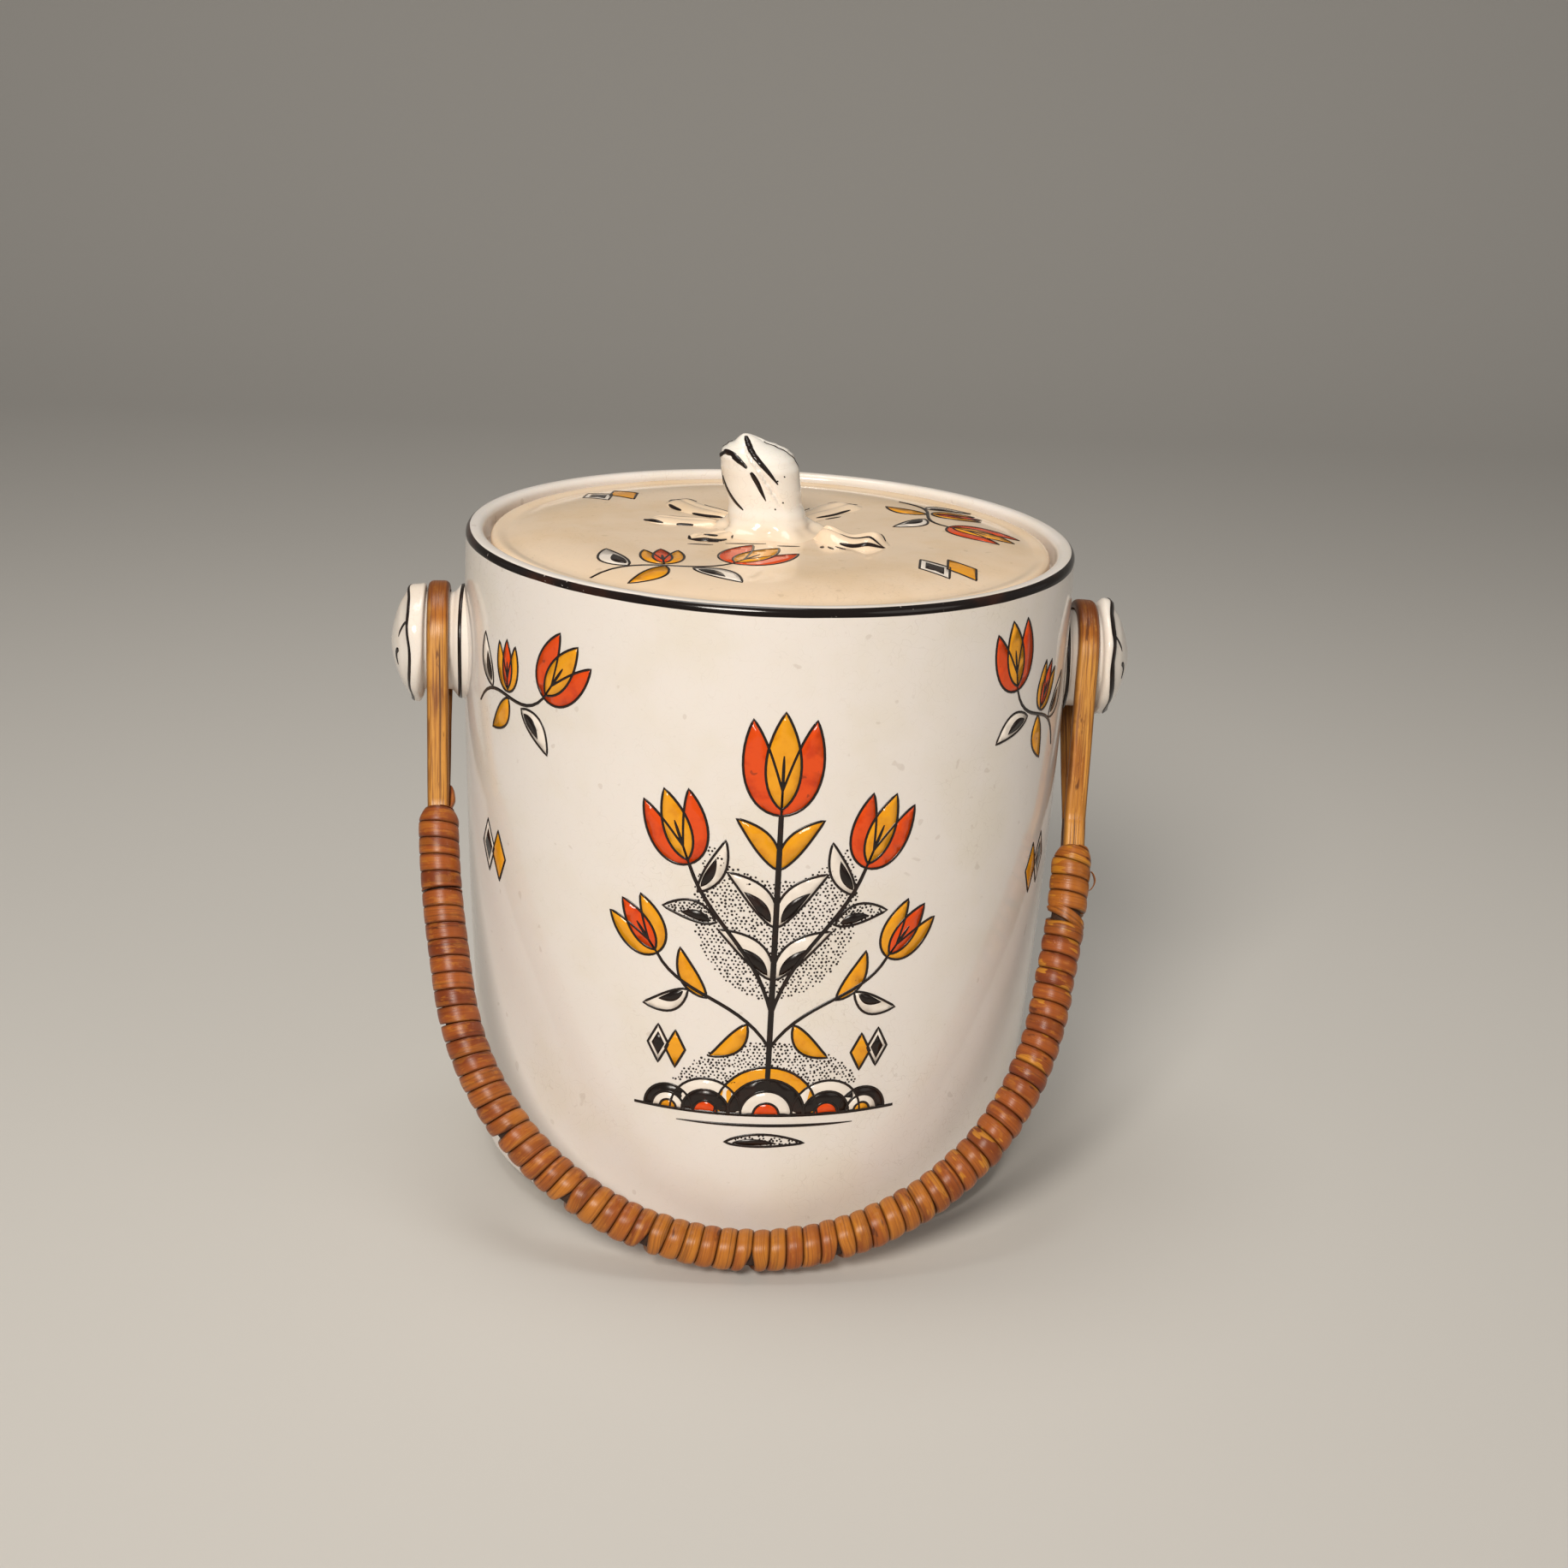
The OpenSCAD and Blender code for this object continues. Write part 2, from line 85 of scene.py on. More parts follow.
# ---------------------------------------------------------------- settings
def linear(hex_code):
    """sRGB hex to the linear colour that Blender's sockets take."""
    rgb = [int(hex_code[i:i + 2], 16) / 255 for i in (1, 3, 5)]
    return tuple(c / 12.92 if c <= 0.04045 else ((c + 0.055) / 1.055) ** 2.4 for c in rgb) + (1.0,)


def colour(name, description, hex_code):
    """A colour setting, given in hex."""
    return FloatVectorProperty(name=name, description=description, default=linear(hex_code), size=4,
                               min=0, max=1, subtype="COLOR")


def length(name, description, default):
    """A length setting, given in metres."""
    return FloatProperty(name=name, description=description, default=default,
                         unit="LENGTH", subtype="DISTANCE", precision=5)


def degrees(name, description, default):
    """An angle setting, given in degrees."""
    return FloatProperty(name=name, description=description, default=math.radians(default),
                         unit="ROTATION", subtype="ANGLE")


class JarSizes(PropertyGroup):
    """Sizes of the earthenware pieces"""
    rim_radius: length("Rim radius", "Outside radius at the rim", 0.068)
    height: length("Height", "Height of the rim above the table", 0.148)
    base_radius: length("Base radius", "Radius the side runs down to", 0.0618)
    bow: length("Bow", "How far the side bows out of a straight line", 0.0019)
    wall: length("Wall", "Thickness of the side wall", 0.0045)
    floor: length("Floor", "Thickness of the floor", 0.0055)
    bend: length("Bend", "Outside radius of the bottom bend", 0.004)
    inner_bend: length("Inner bend", "Inside radius of the bottom bend", 0.006)
    foot_radius: length("Foot radius", "Outside radius of the foot ring", 0.0525)
    foot_width: length("Foot width", "Width of the foot ring", 0.004)
    foot_height: length("Foot height", "Height of the foot ring", 0.002)
    mouth_radius: length("Mouth radius", "Inside radius of the mouth", 0.064)
    seat_radius: length("Seat radius", "Inside radius of the lid seat", 0.0585)
    seat_z: length("Seat height", "Height of the lid seat", 0.1418)
    seat_drop: length("Seat thickness", "Thickness of the seat at its free edge", 0.003)
    crest: length("Crest", "Radius of the rounded rim crest", 0.0016)
    steps: IntProperty(name="Steps", description="Segments round the jar", default=216, min=48)


class LidSizes(PropertyGroup):
    """Sizes of the lid and the work on it"""
    radius: length("Radius", "Outside radius of the lid", 0.0625)
    under_z: length("Underside", "Height of the underside", 0.1421)
    edge_z: length("Edge", "Height of the edge bead", 0.1466)
    top_z: length("Top", "Height of the flat middle", 0.1483)
    flat_radius: length("Flat radius", "Radius of the flat middle", 0.040)
    bead: length("Bead", "Radius of the edge bead", 0.0013)
    skirt_radius: length("Ring radius", "Outside radius of the locating ring", 0.0575)
    skirt_width: length("Ring width", "Width of the locating ring", 0.003)
    skirt_height: length("Ring depth", "Depth of the locating ring", 0.005)
    knob_height: length("Knob height", "Height of the bud above the lid", 0.0214)


class LugSizes(PropertyGroup):
    """Sizes of the two side lugs"""
    axis_z: length("Axis height", "Height of the lug axis", 0.1205)
    root: length("Root", "How far from the jar's axis a lug ends, inside the wall", 0.0646)
    collar_radius: length("Collar radius", "Radius of the collar at the wall", 0.0128)
    neck_radius: length("Neck radius", "Radius of the neck", 0.011)
    cap_radius: length("Cap radius", "Radius of the outer cap", 0.0131)
    band: length("Cap band", "Width of the cap's rim band", 0.003)
    dome: length("Dome", "Height of the dome outside the band", 0.0048)
    loop_side: length("Loop side", "Clearance of a leaning loop in its groove", 0.0003)
    left_tilt: degrees("Left tilt", "Lean of the left cap's face", 2.5)
    right_tilt: degrees("Right tilt", "Lean of the right cap's face", -1.0)
    left_drop: length("Left drop", "How far the left cap sits below the lug axis", 0.0007)
    right_turn: degrees("Right turn", "How far the right cap's face is turned to the front", 4.5)
    right_rise: length("Right rise", "How far the right cap sits above the lug axis", 0.0006)


class HandleSizes(PropertyGroup):
    """Sizes of the cane handle"""
    front: length("Front", "How far the resting grip stands in front of the axis", 0.07075)
    table_gap: length("Table gap", "Height of the resting grip", 0.0012)
    left_x: length("Left loop", "Distance of the left loop from the middle", 0.0736)
    right_x: length("Right loop", "Distance of the right loop from the middle", 0.072)
    left_lean: degrees("Left loop lean", "Lean of the left loop", 1.6)
    left_leg: degrees("Left leg lean", "Lean of the left leg", 9.5)
    right_lean: degrees("Right loop lean", "Lean of the right loop", 2.9)
    right_leg: degrees("Right leg lean", "Lean of the right leg", 12)
    shoulder: length("Shoulder", "Bend radius where the legs turn in", 0.220)
    meet: length("Meeting point", "Lug axis to where the strips meet", 0.038)
    strip_width: length("Strip width", "Width of the split cane", 0.0048)
    strip_thick: length("Strip thickness", "Thickness of the split cane", 0.002)
    strip_round: length("Strip rounding", "Rounding of the strip's outer edges", 0.0012)
    loop_clear: length("Loop clearance", "Clearance of the loops round the necks", 0.0004)
    tongue: length("Tongue", "Thickness of the core's flat ends", 0.0016)
    bind_in: length("Binding inside", "Inside radius of the binding", 0.0033)
    bind_thick: length("Binding thickness", "Thickness of the binding cane", 0.00115)
    swell: length("Grip swell", "Extra radius at the grip", 0.0001)
    turn: length("Turn", "Width of one turn of binding", 0.0037)
    seam: length("Seam", "Gap between two turns", 0.00005)
    bare_left: length("Bare left", "Bare strips on the left", 0.0008)
    bare_right: length("Bare right", "Bare strips on the right", 0.0065)
    left_gap: length("Left gap", "Gap between the left whipping and the binding", 0.0004)
    right_gap: length("Right gap", "Gap on the right, where the cane crosses over", 0.003)
    left_turns: IntProperty(name="Left turns", description="Turns in the left whipping", default=5)
    right_turns: IntProperty(name="Right turns", description="Turns in the right whipping",
                             default=4)


class PaintSizes(PropertyGroup):
    """Sizes of the brush and print work"""
    outline: length("Outline", "Width of the printed outline", 0.00055)
    stem: length("Stem", "Width of the main stem", 0.0013)
    fill_lift: length("Fill lift", "How far the enamel stands off the glaze", 0.00006)
    line_lift: length("Line lift", "How far the outline stands off the glaze", 0.00011)
    dot: length("Dot", "Radius of a stipple dot", 0.00025)


class FinishColours(PropertyGroup):
    """Colours of the glazes, enamels, cane and floor"""
    jar_glaze: colour("Jar glaze", "Glaze on the jar", "#EEE6DF")
    lid_glaze: colour("Lid glaze", "Glaze on the lid and leaves", "#F3DABD")
    lug_glaze: colour("Lug glaze", "Glaze on the lugs", "#F3EAE0")
    bud_glaze: colour("Bud glaze", "Glaze on the bud", "#FBF5EC")
    flame: colour("Flame", "Orange red enamel", "#E54E10")
    amber: colour("Amber", "Amber yellow enamel", "#F0A31C")
    black: colour("Black", "Black printed enamel", "#1A110D")
    reserve: colour("Reserve", "Light enamel left clear in the print", "#F1E6DA")
    strip: colour("Strip", "Varnished split cane", "#B06A20")
    strip_worn: colour("Worn strip", "Split cane where the varnish is thin", "#DB9A44")
    binding: colour("Binding", "Varnished binding cane", "#A0521B")
    binding_worn: colour("Worn binding", "Binding cane where the varnish is thin", "#C47A26")
    paper: colour("Paper", "Floor and backdrop", "#D0CDC8")


class StageSizes(PropertyGroup):
    """Floor, lights and camera"""
    distance: length("Distance", "Camera distance from the jar's axis", 0.574)
    camera_z: length("Camera height", "Camera height above the table", 0.280)
    turn: degrees("Turn", "How far the camera stands to the left of the front", 4)
    pitch: degrees("Pitch", "How far the camera looks down", 18.46)
    yaw: degrees("Yaw", "How far the camera looks to the right", 0.56)
    roll: degrees("Roll", "Tilt of the camera", 2.82)
    lens: FloatProperty(name="Lens", description="Focal length in millimetres", default=60.07)


def sizes(group):
    """The group's values, lengths in millimetres."""
    out = {}
    for prop in group.bl_rna.properties:
        if prop.identifier in {"rna_type", "name"}:
            continue
        value = getattr(group, prop.identifier)
        if getattr(prop, "unit", "") == "LENGTH":
            value /= MM
        elif getattr(prop, "is_array", False):
            value = tuple(value)
        out[prop.identifier] = value
    return SimpleNamespace(**out)


def read(context, *groups):
    """The values of the scene's groups with these names."""
    return [sizes(getattr(context.scene, name)) for name in groups]


# ---------------------------------------------------------------- finishes
SOFT = {"interpolation_type": "SMOOTHSTEP"}
COLOUR = {"out": 2, "data_type": "RGBA"}
TIMES = {"operation": "MULTIPLY"}
MOST = {"operation": "MAXIMUM"}

# noise in each finish: size of a feature in mm, on cane along and across the fibres, then detail
# and roughness
GLAZE = {"mottle": (22, 3, 0.55), "stain": (45, 2, 0.5), "speck": (2.4, 0, 0.5),
         "ripple": (18, 1, 0.5)}
RIM_LINE = {"sway": (33, 3, 0.5), "worn": (1.1, 2, 0.7), "patch": (25, 1, 0.5), "ink": (14, 2, 0.5)}
ENAMEL = {"wash": (3.8, 3, 0.6), "pin": (1.4, 1, 0.5)}
CANE = {"fibres": ((16.7, 0.385), 3, 0.6), "streak": ((62, 0.67), 2, 0.5),
        "tone": ((29.4, 6.7), 2, 0.5), "gold": ((38.5, 3.85), 2, 0.55),
        "turn": ((19.2, 16.7), 1, 0.5), "flecks": ((4.2, 1.4), 4, 0.65),
        "rubbed": ((10.5, 3.0), 2, 0.6), "knots": ((9.1, 2.4), 3, 0.6)}
CORE = {"grain": (1.7, 3, 0.6)}
PAPER = {"fleck": (1.1, 2, 0.5)}
CRAZE, CRAZE_BEND = 4.35, 8.3       # mm between cracks in the glaze, and between their bends


def plug(tree, node, values):
    """Set sockets, by index or name, to constants or to other nodes' outputs."""
    for key, value in values.items():
        if isinstance(value, bpy.types.NodeSocket):
            tree.links.new(value, node.inputs[key])
        else:
            node.inputs[key].default_value = value


def add(tree, kind, values=None, out=0, **settings):
    """Add one node with its settings and links, and return one of its outputs."""
    node = tree.nodes.new("ShaderNode" + kind)
    for key, value in settings.items():
        setattr(node, key, value)
    plug(tree, node, values or {})
    return node.outputs[out]


def material(name, table, uv=None):
    """A new material: itself, tree, shader, the place on the piece, and the table's noises."""
    mat = bpy.data.materials.new(name)
    mat.use_nodes = True
    tree = mat.node_tree
    where = add(tree, "UVMap", uv_map=uv) if uv else add(tree, "TexCoord", out="Object")
    return mat, tree, tree.nodes["Principled BSDF"], where, noises(tree, where, table)


def noises(tree, where, table):
    """The noises of a finish by name, in the sizes that its table gives."""
    found = {}
    for key, (size, detail, rough) in table.items():
        long, wide = size if isinstance(size, tuple) else (size, size)
        scale = (1 / (long * MM), 1 / (wide * MM), 1 / (wide * MM))
        spot = add(tree, "Mapping", {"Vector": where, "Scale": scale})
        found[key] = add(tree, "TexNoise",
                         {"Vector": spot, "Scale": 1.0, "Detail": detail, "Roughness": rough})
    return SimpleNamespace(**found)


def coats(tree, colour, *layers):
    """Lay tints over a colour.

    Each layer is a tint and a mask, or a tint, what drives it, the value where it starts, the
    value where it is full, and how strong it gets.
    """
    for tint, mask, *levels in layers:
        if levels:
            start, full, strength = levels
            mask = add(tree, "MapRange", {0: mask, 1: start, 2: full, 4: strength}, **SOFT)
        colour = add(tree, "Mix", {0: mask, 6: colour, 7: tint}, **COLOUR)
    return colour


def glaze(name, tint, deep, jar=None, foot=None):
    """Lead glaze poured over cream earthenware: mottled, finely crazed, wet and slightly wavy.

    foot: height and tint that the glaze runs into at the bottom of a modelled piece.
    """
    mat, tree, shader, where, noise_of = material(name, GLAZE)
    bends = add(tree, "TexNoise", {"Vector": where, "Scale": 1 / (CRAZE_BEND * MM)}, out=1)
    bent = add(tree, "Mix", {0: 0.03, 4: where, 5: bends}, out=1, data_type="VECTOR")
    crack = add(tree, "TexVoronoi", {"Vector": bent, "Scale": 1 / (CRAZE * MM), "Randomness": 1.0},
                feature="DISTANCE_TO_EDGE")
    crack = add(tree, "MapRange", {0: crack, 1: 0.022, 2: 0.0}, **SOFT)
    # the cracks are stained more in some places than in others
    stain = add(tree, "MapRange", {0: noise_of.stain, 1: 0.48, 2: 0.66, 3: 0.05, 4: 0.17}, **SOFT)
    crack = add(tree, "Math", {0: crack, 1: stain}, **TIMES)
    colour = coats(tree, tint,
                   (deep, noise_of.mottle, 0.42, 0.72, 1.0),
                   (linear("#8C6B46"), crack),
                   (linear("#8A6A48"), noise_of.speck, 0.80, 0.84, 0.16))
    height = add(tree, "SeparateXYZ", {0: where}, out=2)
    if foot:
        colour = coats(tree, colour, (foot[1], height, foot[0] + 0.006, foot[0], 1.0))
    if jar:
        colour = rim_line(tree, where, colour, jar)
        # bare, slightly soiled clay where the foot ring stands
        colour = coats(tree, colour, (linear("#B89B76"), height, 0.0009, 0.0002, 1.0))
    rough = add(tree, "Math", {0: noise_of.mottle, 1: 0.10, 2: 0.07}, operation="MULTIPLY_ADD")
    waves = add(tree, "Bump", {"Height": noise_of.ripple, "Distance": 0.00025, "Strength": 1.0})
    plug(tree, shader, {"Base Color": colour, "Roughness": rough, "IOR": 1.5, "Normal": waves,
                        "Subsurface Weight": 0.06, "Subsurface Scale": 0.002,
                        "Subsurface Radius": (1.0, 0.7, 0.45)})
    return mat


def rim_line(tree, where, colour, jar):
    """The brushed dark line on the outer edge of the rim, with worn specks."""
    noise_of = noises(tree, where, RIM_LINE)
    x, y, z = add(tree, "SeparateXYZ", {0: where}).node.outputs
    flat = add(tree, "CombineXYZ", {0: x, 1: y})
    radius = add(tree, "VectorMath", {0: flat}, out=1, operation="LENGTH")
    sway = add(tree, "Math", {0: noise_of.sway, 1: 0.0007, 2: -0.00035}, operation="MULTIPLY_ADD")
    low = (jar.height - jar.crest - 0.35) * MM
    outer = (jar.rim_radius - 0.95) * MM
    z = add(tree, "Math", {0: z, 1: sway}, operation="ADD")
    radius = add(tree, "Math", {0: radius, 1: sway}, operation="ADD")
    above = add(tree, "MapRange", {0: z, 1: low, 2: low + 0.00008}, **SOFT)
    outside = add(tree, "MapRange", {0: radius, 1: outer, 2: outer + 0.0001}, **SOFT)
    specks = add(tree, "MapRange", {0: noise_of.worn, 1: 0.66, 2: 0.72}, **SOFT)
    patchy = add(tree, "MapRange", {0: noise_of.patch, 1: 0.5, 2: 0.62}, **SOFT)
    worn = add(tree, "Math", {0: specks, 1: patchy}, **TIMES)
    kept = add(tree, "Math", {0: 1.0, 1: worn}, operation="SUBTRACT")
    line = add(tree, "Math", {0: above, 1: outside}, **TIMES)
    line = add(tree, "Math", {0: line, 1: kept}, **TIMES)
    ink = coats(tree, linear("#170F0C"), (linear("#4A2412"), noise_of.ink, 0.52, 0.75, 1.0))
    return coats(tree, colour, (ink, line))


def enamel(name, tint, deep, rough=0.16):
    """On-glaze enamel laid by brush and fired: glossy, thicker and darker here and there."""
    mat, tree, shader, _, noise_of = material(name, ENAMEL)
    colour = coats(tree, tint, (deep, noise_of.wash, 0.45, 0.75, 1.0),
                   (linear("#5A2A18"), noise_of.pin, 0.74, 0.80, 0.5))
    strokes = add(tree, "Bump", {"Height": noise_of.wash, "Distance": 0.0001, "Strength": 1.0})
    plug(tree, shader, {"Base Color": colour, "Roughness": rough, "IOR": 1.45, "Normal": strokes})
    return mat


def cane(name, tints, grain, worn_share, neck_shade=0.0):
    """Split, varnished cane: shiny, with fibres along the strip, painted shade at the strips'
    edges, worn on top.

    The second UV layer holds how near a point is to the strip's edge, and its place along the
    whole handle, where the varnish goes from red brown to gold and back. The last argument
    paints shade over the top of each loop, where the strip lies on the neck between collar and cap.
    """
    pale, mid, dark, bare = tints
    mat, tree, shader, _, noise_of = material(name, CANE, "strip")
    edge, share, _ = add(tree, "SeparateXYZ", {0: add(tree, "UVMap", uv_map="edge")}).node.outputs
    # the varnish is thin and gold in the bend, more on some turns than on others
    bend = add(tree, "MapRange", {0: share, 1: 0.20, 2: 0.31}, **SOFT)
    far = add(tree, "MapRange", {0: share, 1: 0.76, 2: 0.60}, **SOFT)
    bend = add(tree, "Math", {0: bend, 1: far}, **TIMES)
    thin = add(tree, "Math", {0: bend, 1: 0.7, 2: 0.10 + worn_share}, operation="MULTIPLY_ADD")
    spots = add(tree, "MapRange", {0: noise_of.gold, 1: 0.50, 2: 0.66}, **SOFT)
    spots = add(tree, "Math", {0: spots, 1: thin}, **TIMES)
    turn = add(tree, "MapRange", {0: noise_of.turn, 1: 0.40, 2: 0.60, 3: 0.10, 4: 0.80}, **SOFT)
    turn = add(tree, "Math", {0: bend, 1: turn}, **TIMES)
    gold = add(tree, "Math", {0: spots, 1: turn}, **MOST)
    if not neck_shade:
        last = add(tree, "MapRange", {0: share, 1: 0.895, 2: 0.912, 4: 0.45}, **SOFT)
        gold = add(tree, "Math", {0: gold, 1: last}, **MOST)
    # patches rubbed down to bare cane, most of them on the right half
    rubbed = add(tree, "MapRange", {0: noise_of.rubbed, 1: 0.59, 2: 0.61}, **SOFT)
    most = 1.05 - 0.7 * grain
    right = add(tree, "MapRange", {0: share, 1: 0.55, 2: 0.75, 3: 0.15, 4: most}, **SOFT)
    rubbed = add(tree, "Math", {0: rubbed, 1: right}, **TIMES)
    colour = coats(tree, mid,
                   (dark, noise_of.tone, 0.44, 0.62, 0.80),
                   (pale, gold),
                   (pale, noise_of.flecks, 0.54, 0.62, 0.40),
                   (bare, rubbed),
                   (linear("#4A1E0A"), noise_of.knots, 0.63, 0.70, 0.75),
                   (dark, noise_of.fibres, 0.47, 0.62, grain * 0.62),
                   (linear("#3A1A08"), noise_of.streak, 0.58, 0.66, grain * 0.8),
                   # painted shade over the top of each loop, where the strip lies on the neck
                   # between collar and cap
                   (dark, share, 0.80, 1.0, neck_shade),
                   # painted shade: darker towards the edges of each strip and turn, in the seams
                   # between them
                   (linear("#3A1606"), edge, 0.66, 1.0, 0.60))
    rough = add(tree, "Math", {0: noise_of.fibres, 1: 0.16, 2: 0.27}, operation="MULTIPLY_ADD")
    ridges = add(tree, "Bump", {"Height": noise_of.fibres, "Distance": 0.0001, "Strength": 1.0})
    plug(tree, shader, {"Base Color": colour, "Roughness": rough, "IOR": 1.45, "Normal": ridges})
    return mat


def core_cane(name):
    """Whole cane, unvarnished and dry: dull and dark between the turns."""
    mat, tree, shader, _, noise_of = material(name, CORE)
    colour = coats(tree, linear("#1E100A"), (linear("#4B2C16"), noise_of.grain))
    bark = add(tree, "Bump", {"Height": noise_of.grain, "Distance": 0.0002, "Strength": 1.0})
    plug(tree, shader, {"Base Color": colour, "Roughness": 0.7, "Normal": bark})
    return mat


def paper(name, tint):
    """Seamless paper, rolled and matt: no shine, hardly any grain."""
    mat, tree, shader, _, noise_of = material(name, PAPER)
    faint = add(tree, "Math", {0: noise_of.fleck, 1: 0.05}, **TIMES)
    colour = coats(tree, tint, (linear("#C9C4BC"), faint))
    plug(tree, shader, {"Base Color": colour, "Roughness": 0.9})
    return mat


PALETTE = {}


def make_palette(tints, jar, lid):
    """All materials of the jar, by key."""
    pool = (lid.top_z * MM - 0.0005, linear("#F3DDC2"))
    strip = (tints.strip_worn, tints.strip, linear("#6A310D"), linear("#E2A850"))
    flat = (tints.binding_worn, tints.binding, linear("#6E2B0C"), linear("#D8922A"))
    PALETTE.update({
        "body": glaze("cream glaze on earthenware, crazed", tints.jar_glaze,
                      linear("#EAE1D5"), jar),
        "lid": glaze("cream glaze on the lid, deeper where it pooled", tints.lid_glaze,
                     linear("#EDD0AC")),
        "white": glaze("cream glaze on modelled work", tints.lug_glaze, linear("#EEE0D1")),
        "bud": glaze("pale glaze on the bud", tints.bud_glaze, linear("#F7EEE2"), foot=pool),
        "flame": enamel("orange red enamel", tints.flame, linear("#CE3C0A")),
        "amber": enamel("amber yellow enamel", tints.amber, linear("#E2900F")),
        "ink": enamel("black printed enamel", tints.black, linear("#2A1710"), 0.25),
        "reserve": enamel("clear reserve in the print", tints.reserve, linear("#ECDFD0")),
        "strip": cane("split cane, worn varnish", strip, 1.0, 0.06, neck_shade=0.6),
        "binding": cane("flat binding cane, varnished", flat, 0.5, 0.0),
        "core": core_cane("whole cane core, dark"),
    })


# ---------------------------------------------------------------- mesh helpers
def put(name, data):
    """A new object in the scene."""
    thing = bpy.data.objects.new(name, data)
    bpy.context.collection.objects.link(thing)
    return thing


def piece(name, verts, faces, key, body, slot, uvs=None, sharp=None):
    """A mesh object from millimetre points, in a material, riding on a body."""
    mesh = bpy.data.meshes.new(name)
    mesh.from_pydata([Vector(v) * MM for v in verts], [], faces)
    mesh.validate()
    for layer, table in (uvs or {}).items():
        coords = mesh.uv_layers.new(name=layer).data
        for loop in mesh.loops:
            coords[loop.index].uv = table[loop.vertex_index]
    mesh.shade_smooth()
    if sharp:
        mesh.set_sharp_from_angle(angle=math.radians(sharp))
    mesh.materials.append(PALETTE[key])
    obj = put(name, mesh)
    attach(obj, body)
    return obj


class Heap:
    """Points and faces of one piece, gathered from several strips and sheets."""

    def __init__(self):
        self.verts, self.faces, self.uv, self.edge = [], [], [], []

    def grid(self, rows, close_u=False, close_v=False, uv=(), edge=(), cap=False):
        """A grid of points, rows by columns, with optional closing and flat ends."""
        start, n, m = len(self.verts), len(rows), len(rows[0])
        for own, more in ((self.verts, rows), (self.uv, uv), (self.edge, edge)):
            for row in more:
                own.extend(row)
        for i in range(n if close_u else n - 1):
            for j in range(m if close_v else m - 1):
                a, b = start + i * m, start + (i + 1) % n * m
                self.faces.append((a + j, a + (j + 1) % m, b + (j + 1) % m, b + j))
        if cap:
            self.faces.append(tuple(start + j for j in reversed(range(m))))
            self.faces.append(tuple(start + (n - 1) * m + j for j in range(m)))

    def pod(self, rows, past):
        """A tube with a flat start that runs to a tip, which lies past the last row's middle."""
        steps = len(rows[0])
        self.grid(rows, close_v=True)
        tip, last = len(self.verts), (len(rows) - 1) * steps
        self.verts.append(sum(rows[-1], Vector()) / steps + past)
        self.faces += [(last + k, last + (k + 1) % steps, tip) for k in range(steps)]
        self.faces.append(tuple(reversed(range(steps))))

    def make(self, name, key, body, slot, sharp=None):
        """The finished piece."""
        layers = {"strip": self.uv, "edge": self.edge} if self.uv else None
        return piece(name, self.verts, self.faces, key, body, slot, layers, sharp)


def turned(profile, steps, place):
    """Revolve (radius, z) points; a point on the axis becomes one vertex, place puts the others."""
    verts, faces, rings = [], [], []
    for r, z in profile:
        if r < 1e-6:
            verts.append(Vector((0, 0, z)))
            rings.append([len(verts) - 1] * steps)
            continue
        rings.append(list(range(len(verts), len(verts) + steps)))
        verts += [place(r, z, 2 * math.pi * k / steps) for k in range(steps)]
    for low, high in zip(rings, rings[1:]):
        for k in range(steps):
            quad = [low[k], low[(k + 1) % steps], high[(k + 1) % steps], high[k]]
            face = tuple(dict.fromkeys(quad))
            if len(face) > 2:
                faces.append(face)
    return verts, faces


def arc(cx, cz, r, a0, a1, n):
    """Points of an arc, degrees from the radius axis."""
    angles = [math.radians(a0 + (a1 - a0) * i / n) for i in range(n + 1)]
    return [(cx + r * math.cos(a), cz + r * math.sin(a)) for a in angles]


def about(a, r, z=0.0):
    """The point r out from the jar's axis at angle a from the front, at height z."""
    return Vector((r * math.sin(a), -r * math.cos(a), z))


def run(a, b, n):
    """n + 1 points from a to b."""
    return [tuple(p + (q - p) * i / n for p, q in zip(a, b)) for i in range(n + 1)]


def smooth(t):
    """0 below 0, 1 above 1, smooth between."""
    t = min(1.0, max(0.0, t))
    return t * t * (3 - 2 * t)


def level(table, t):
    """Smooth reading of a table of (t, value) pairs."""
    for (t0, v0), (t1, v1) in zip(table, table[1:]):
        if t <= t1:
            return v0 + (v1 - v0) * smooth((t - t0) / (t1 - t0))
    return table[-1][1]


# ---------------------------------------------------------------- surfaces
def side_radius(jar, z):
    """Outside radius of the bowed side at height z."""
    t = z / jar.height
    return jar.base_radius + (jar.rim_radius - jar.base_radius) * t + 4 * jar.bow * t * (1 - t)


def wobble(a, z):
    """Slip-cast ware is never quite round: a tenth of a millimetre or so."""
    return (0.09 * math.sin(2 * a + 0.6) + 0.05 * math.sin(3 * a + 2 + z * 0.03)
            + 0.03 * math.sin(5 * a + z * 0.07))


def body_surface(jar):
    """Point and normal of the outer wall for x mm round from the front and height z."""
    def at(x, z):
        a = x / (jar.rim_radius - PAINT_INSET)
        r = side_radius(jar, z) + wobble(a, z)
        out = about(a, 1.0)
        return out * r + UP * z, out
    return at


def lid_height(lid, r):
    """Height of the lid's top at radius r: flat, falling to a dip, then up the bead."""
    dip_r, dip_z = lid.radius - 3 * lid.bead, lid.edge_z - lid.bead / 3
    if r >= dip_r:
        return dip_z + (lid.edge_z - dip_z) * smooth((r - dip_r) / (2 * lid.bead))
    t = min(1.0, (dip_r - r) / (dip_r - lid.flat_radius))
    return dip_z + (lid.top_z - dip_z) * (1 - (1 - t) ** 2)


def lid_surface(lid):
    """Point and normal of the lid's top at x, y."""
    def at(x, y):
        return Vector((x, y, lid_height(lid, math.hypot(x, y)))), UP
    return at


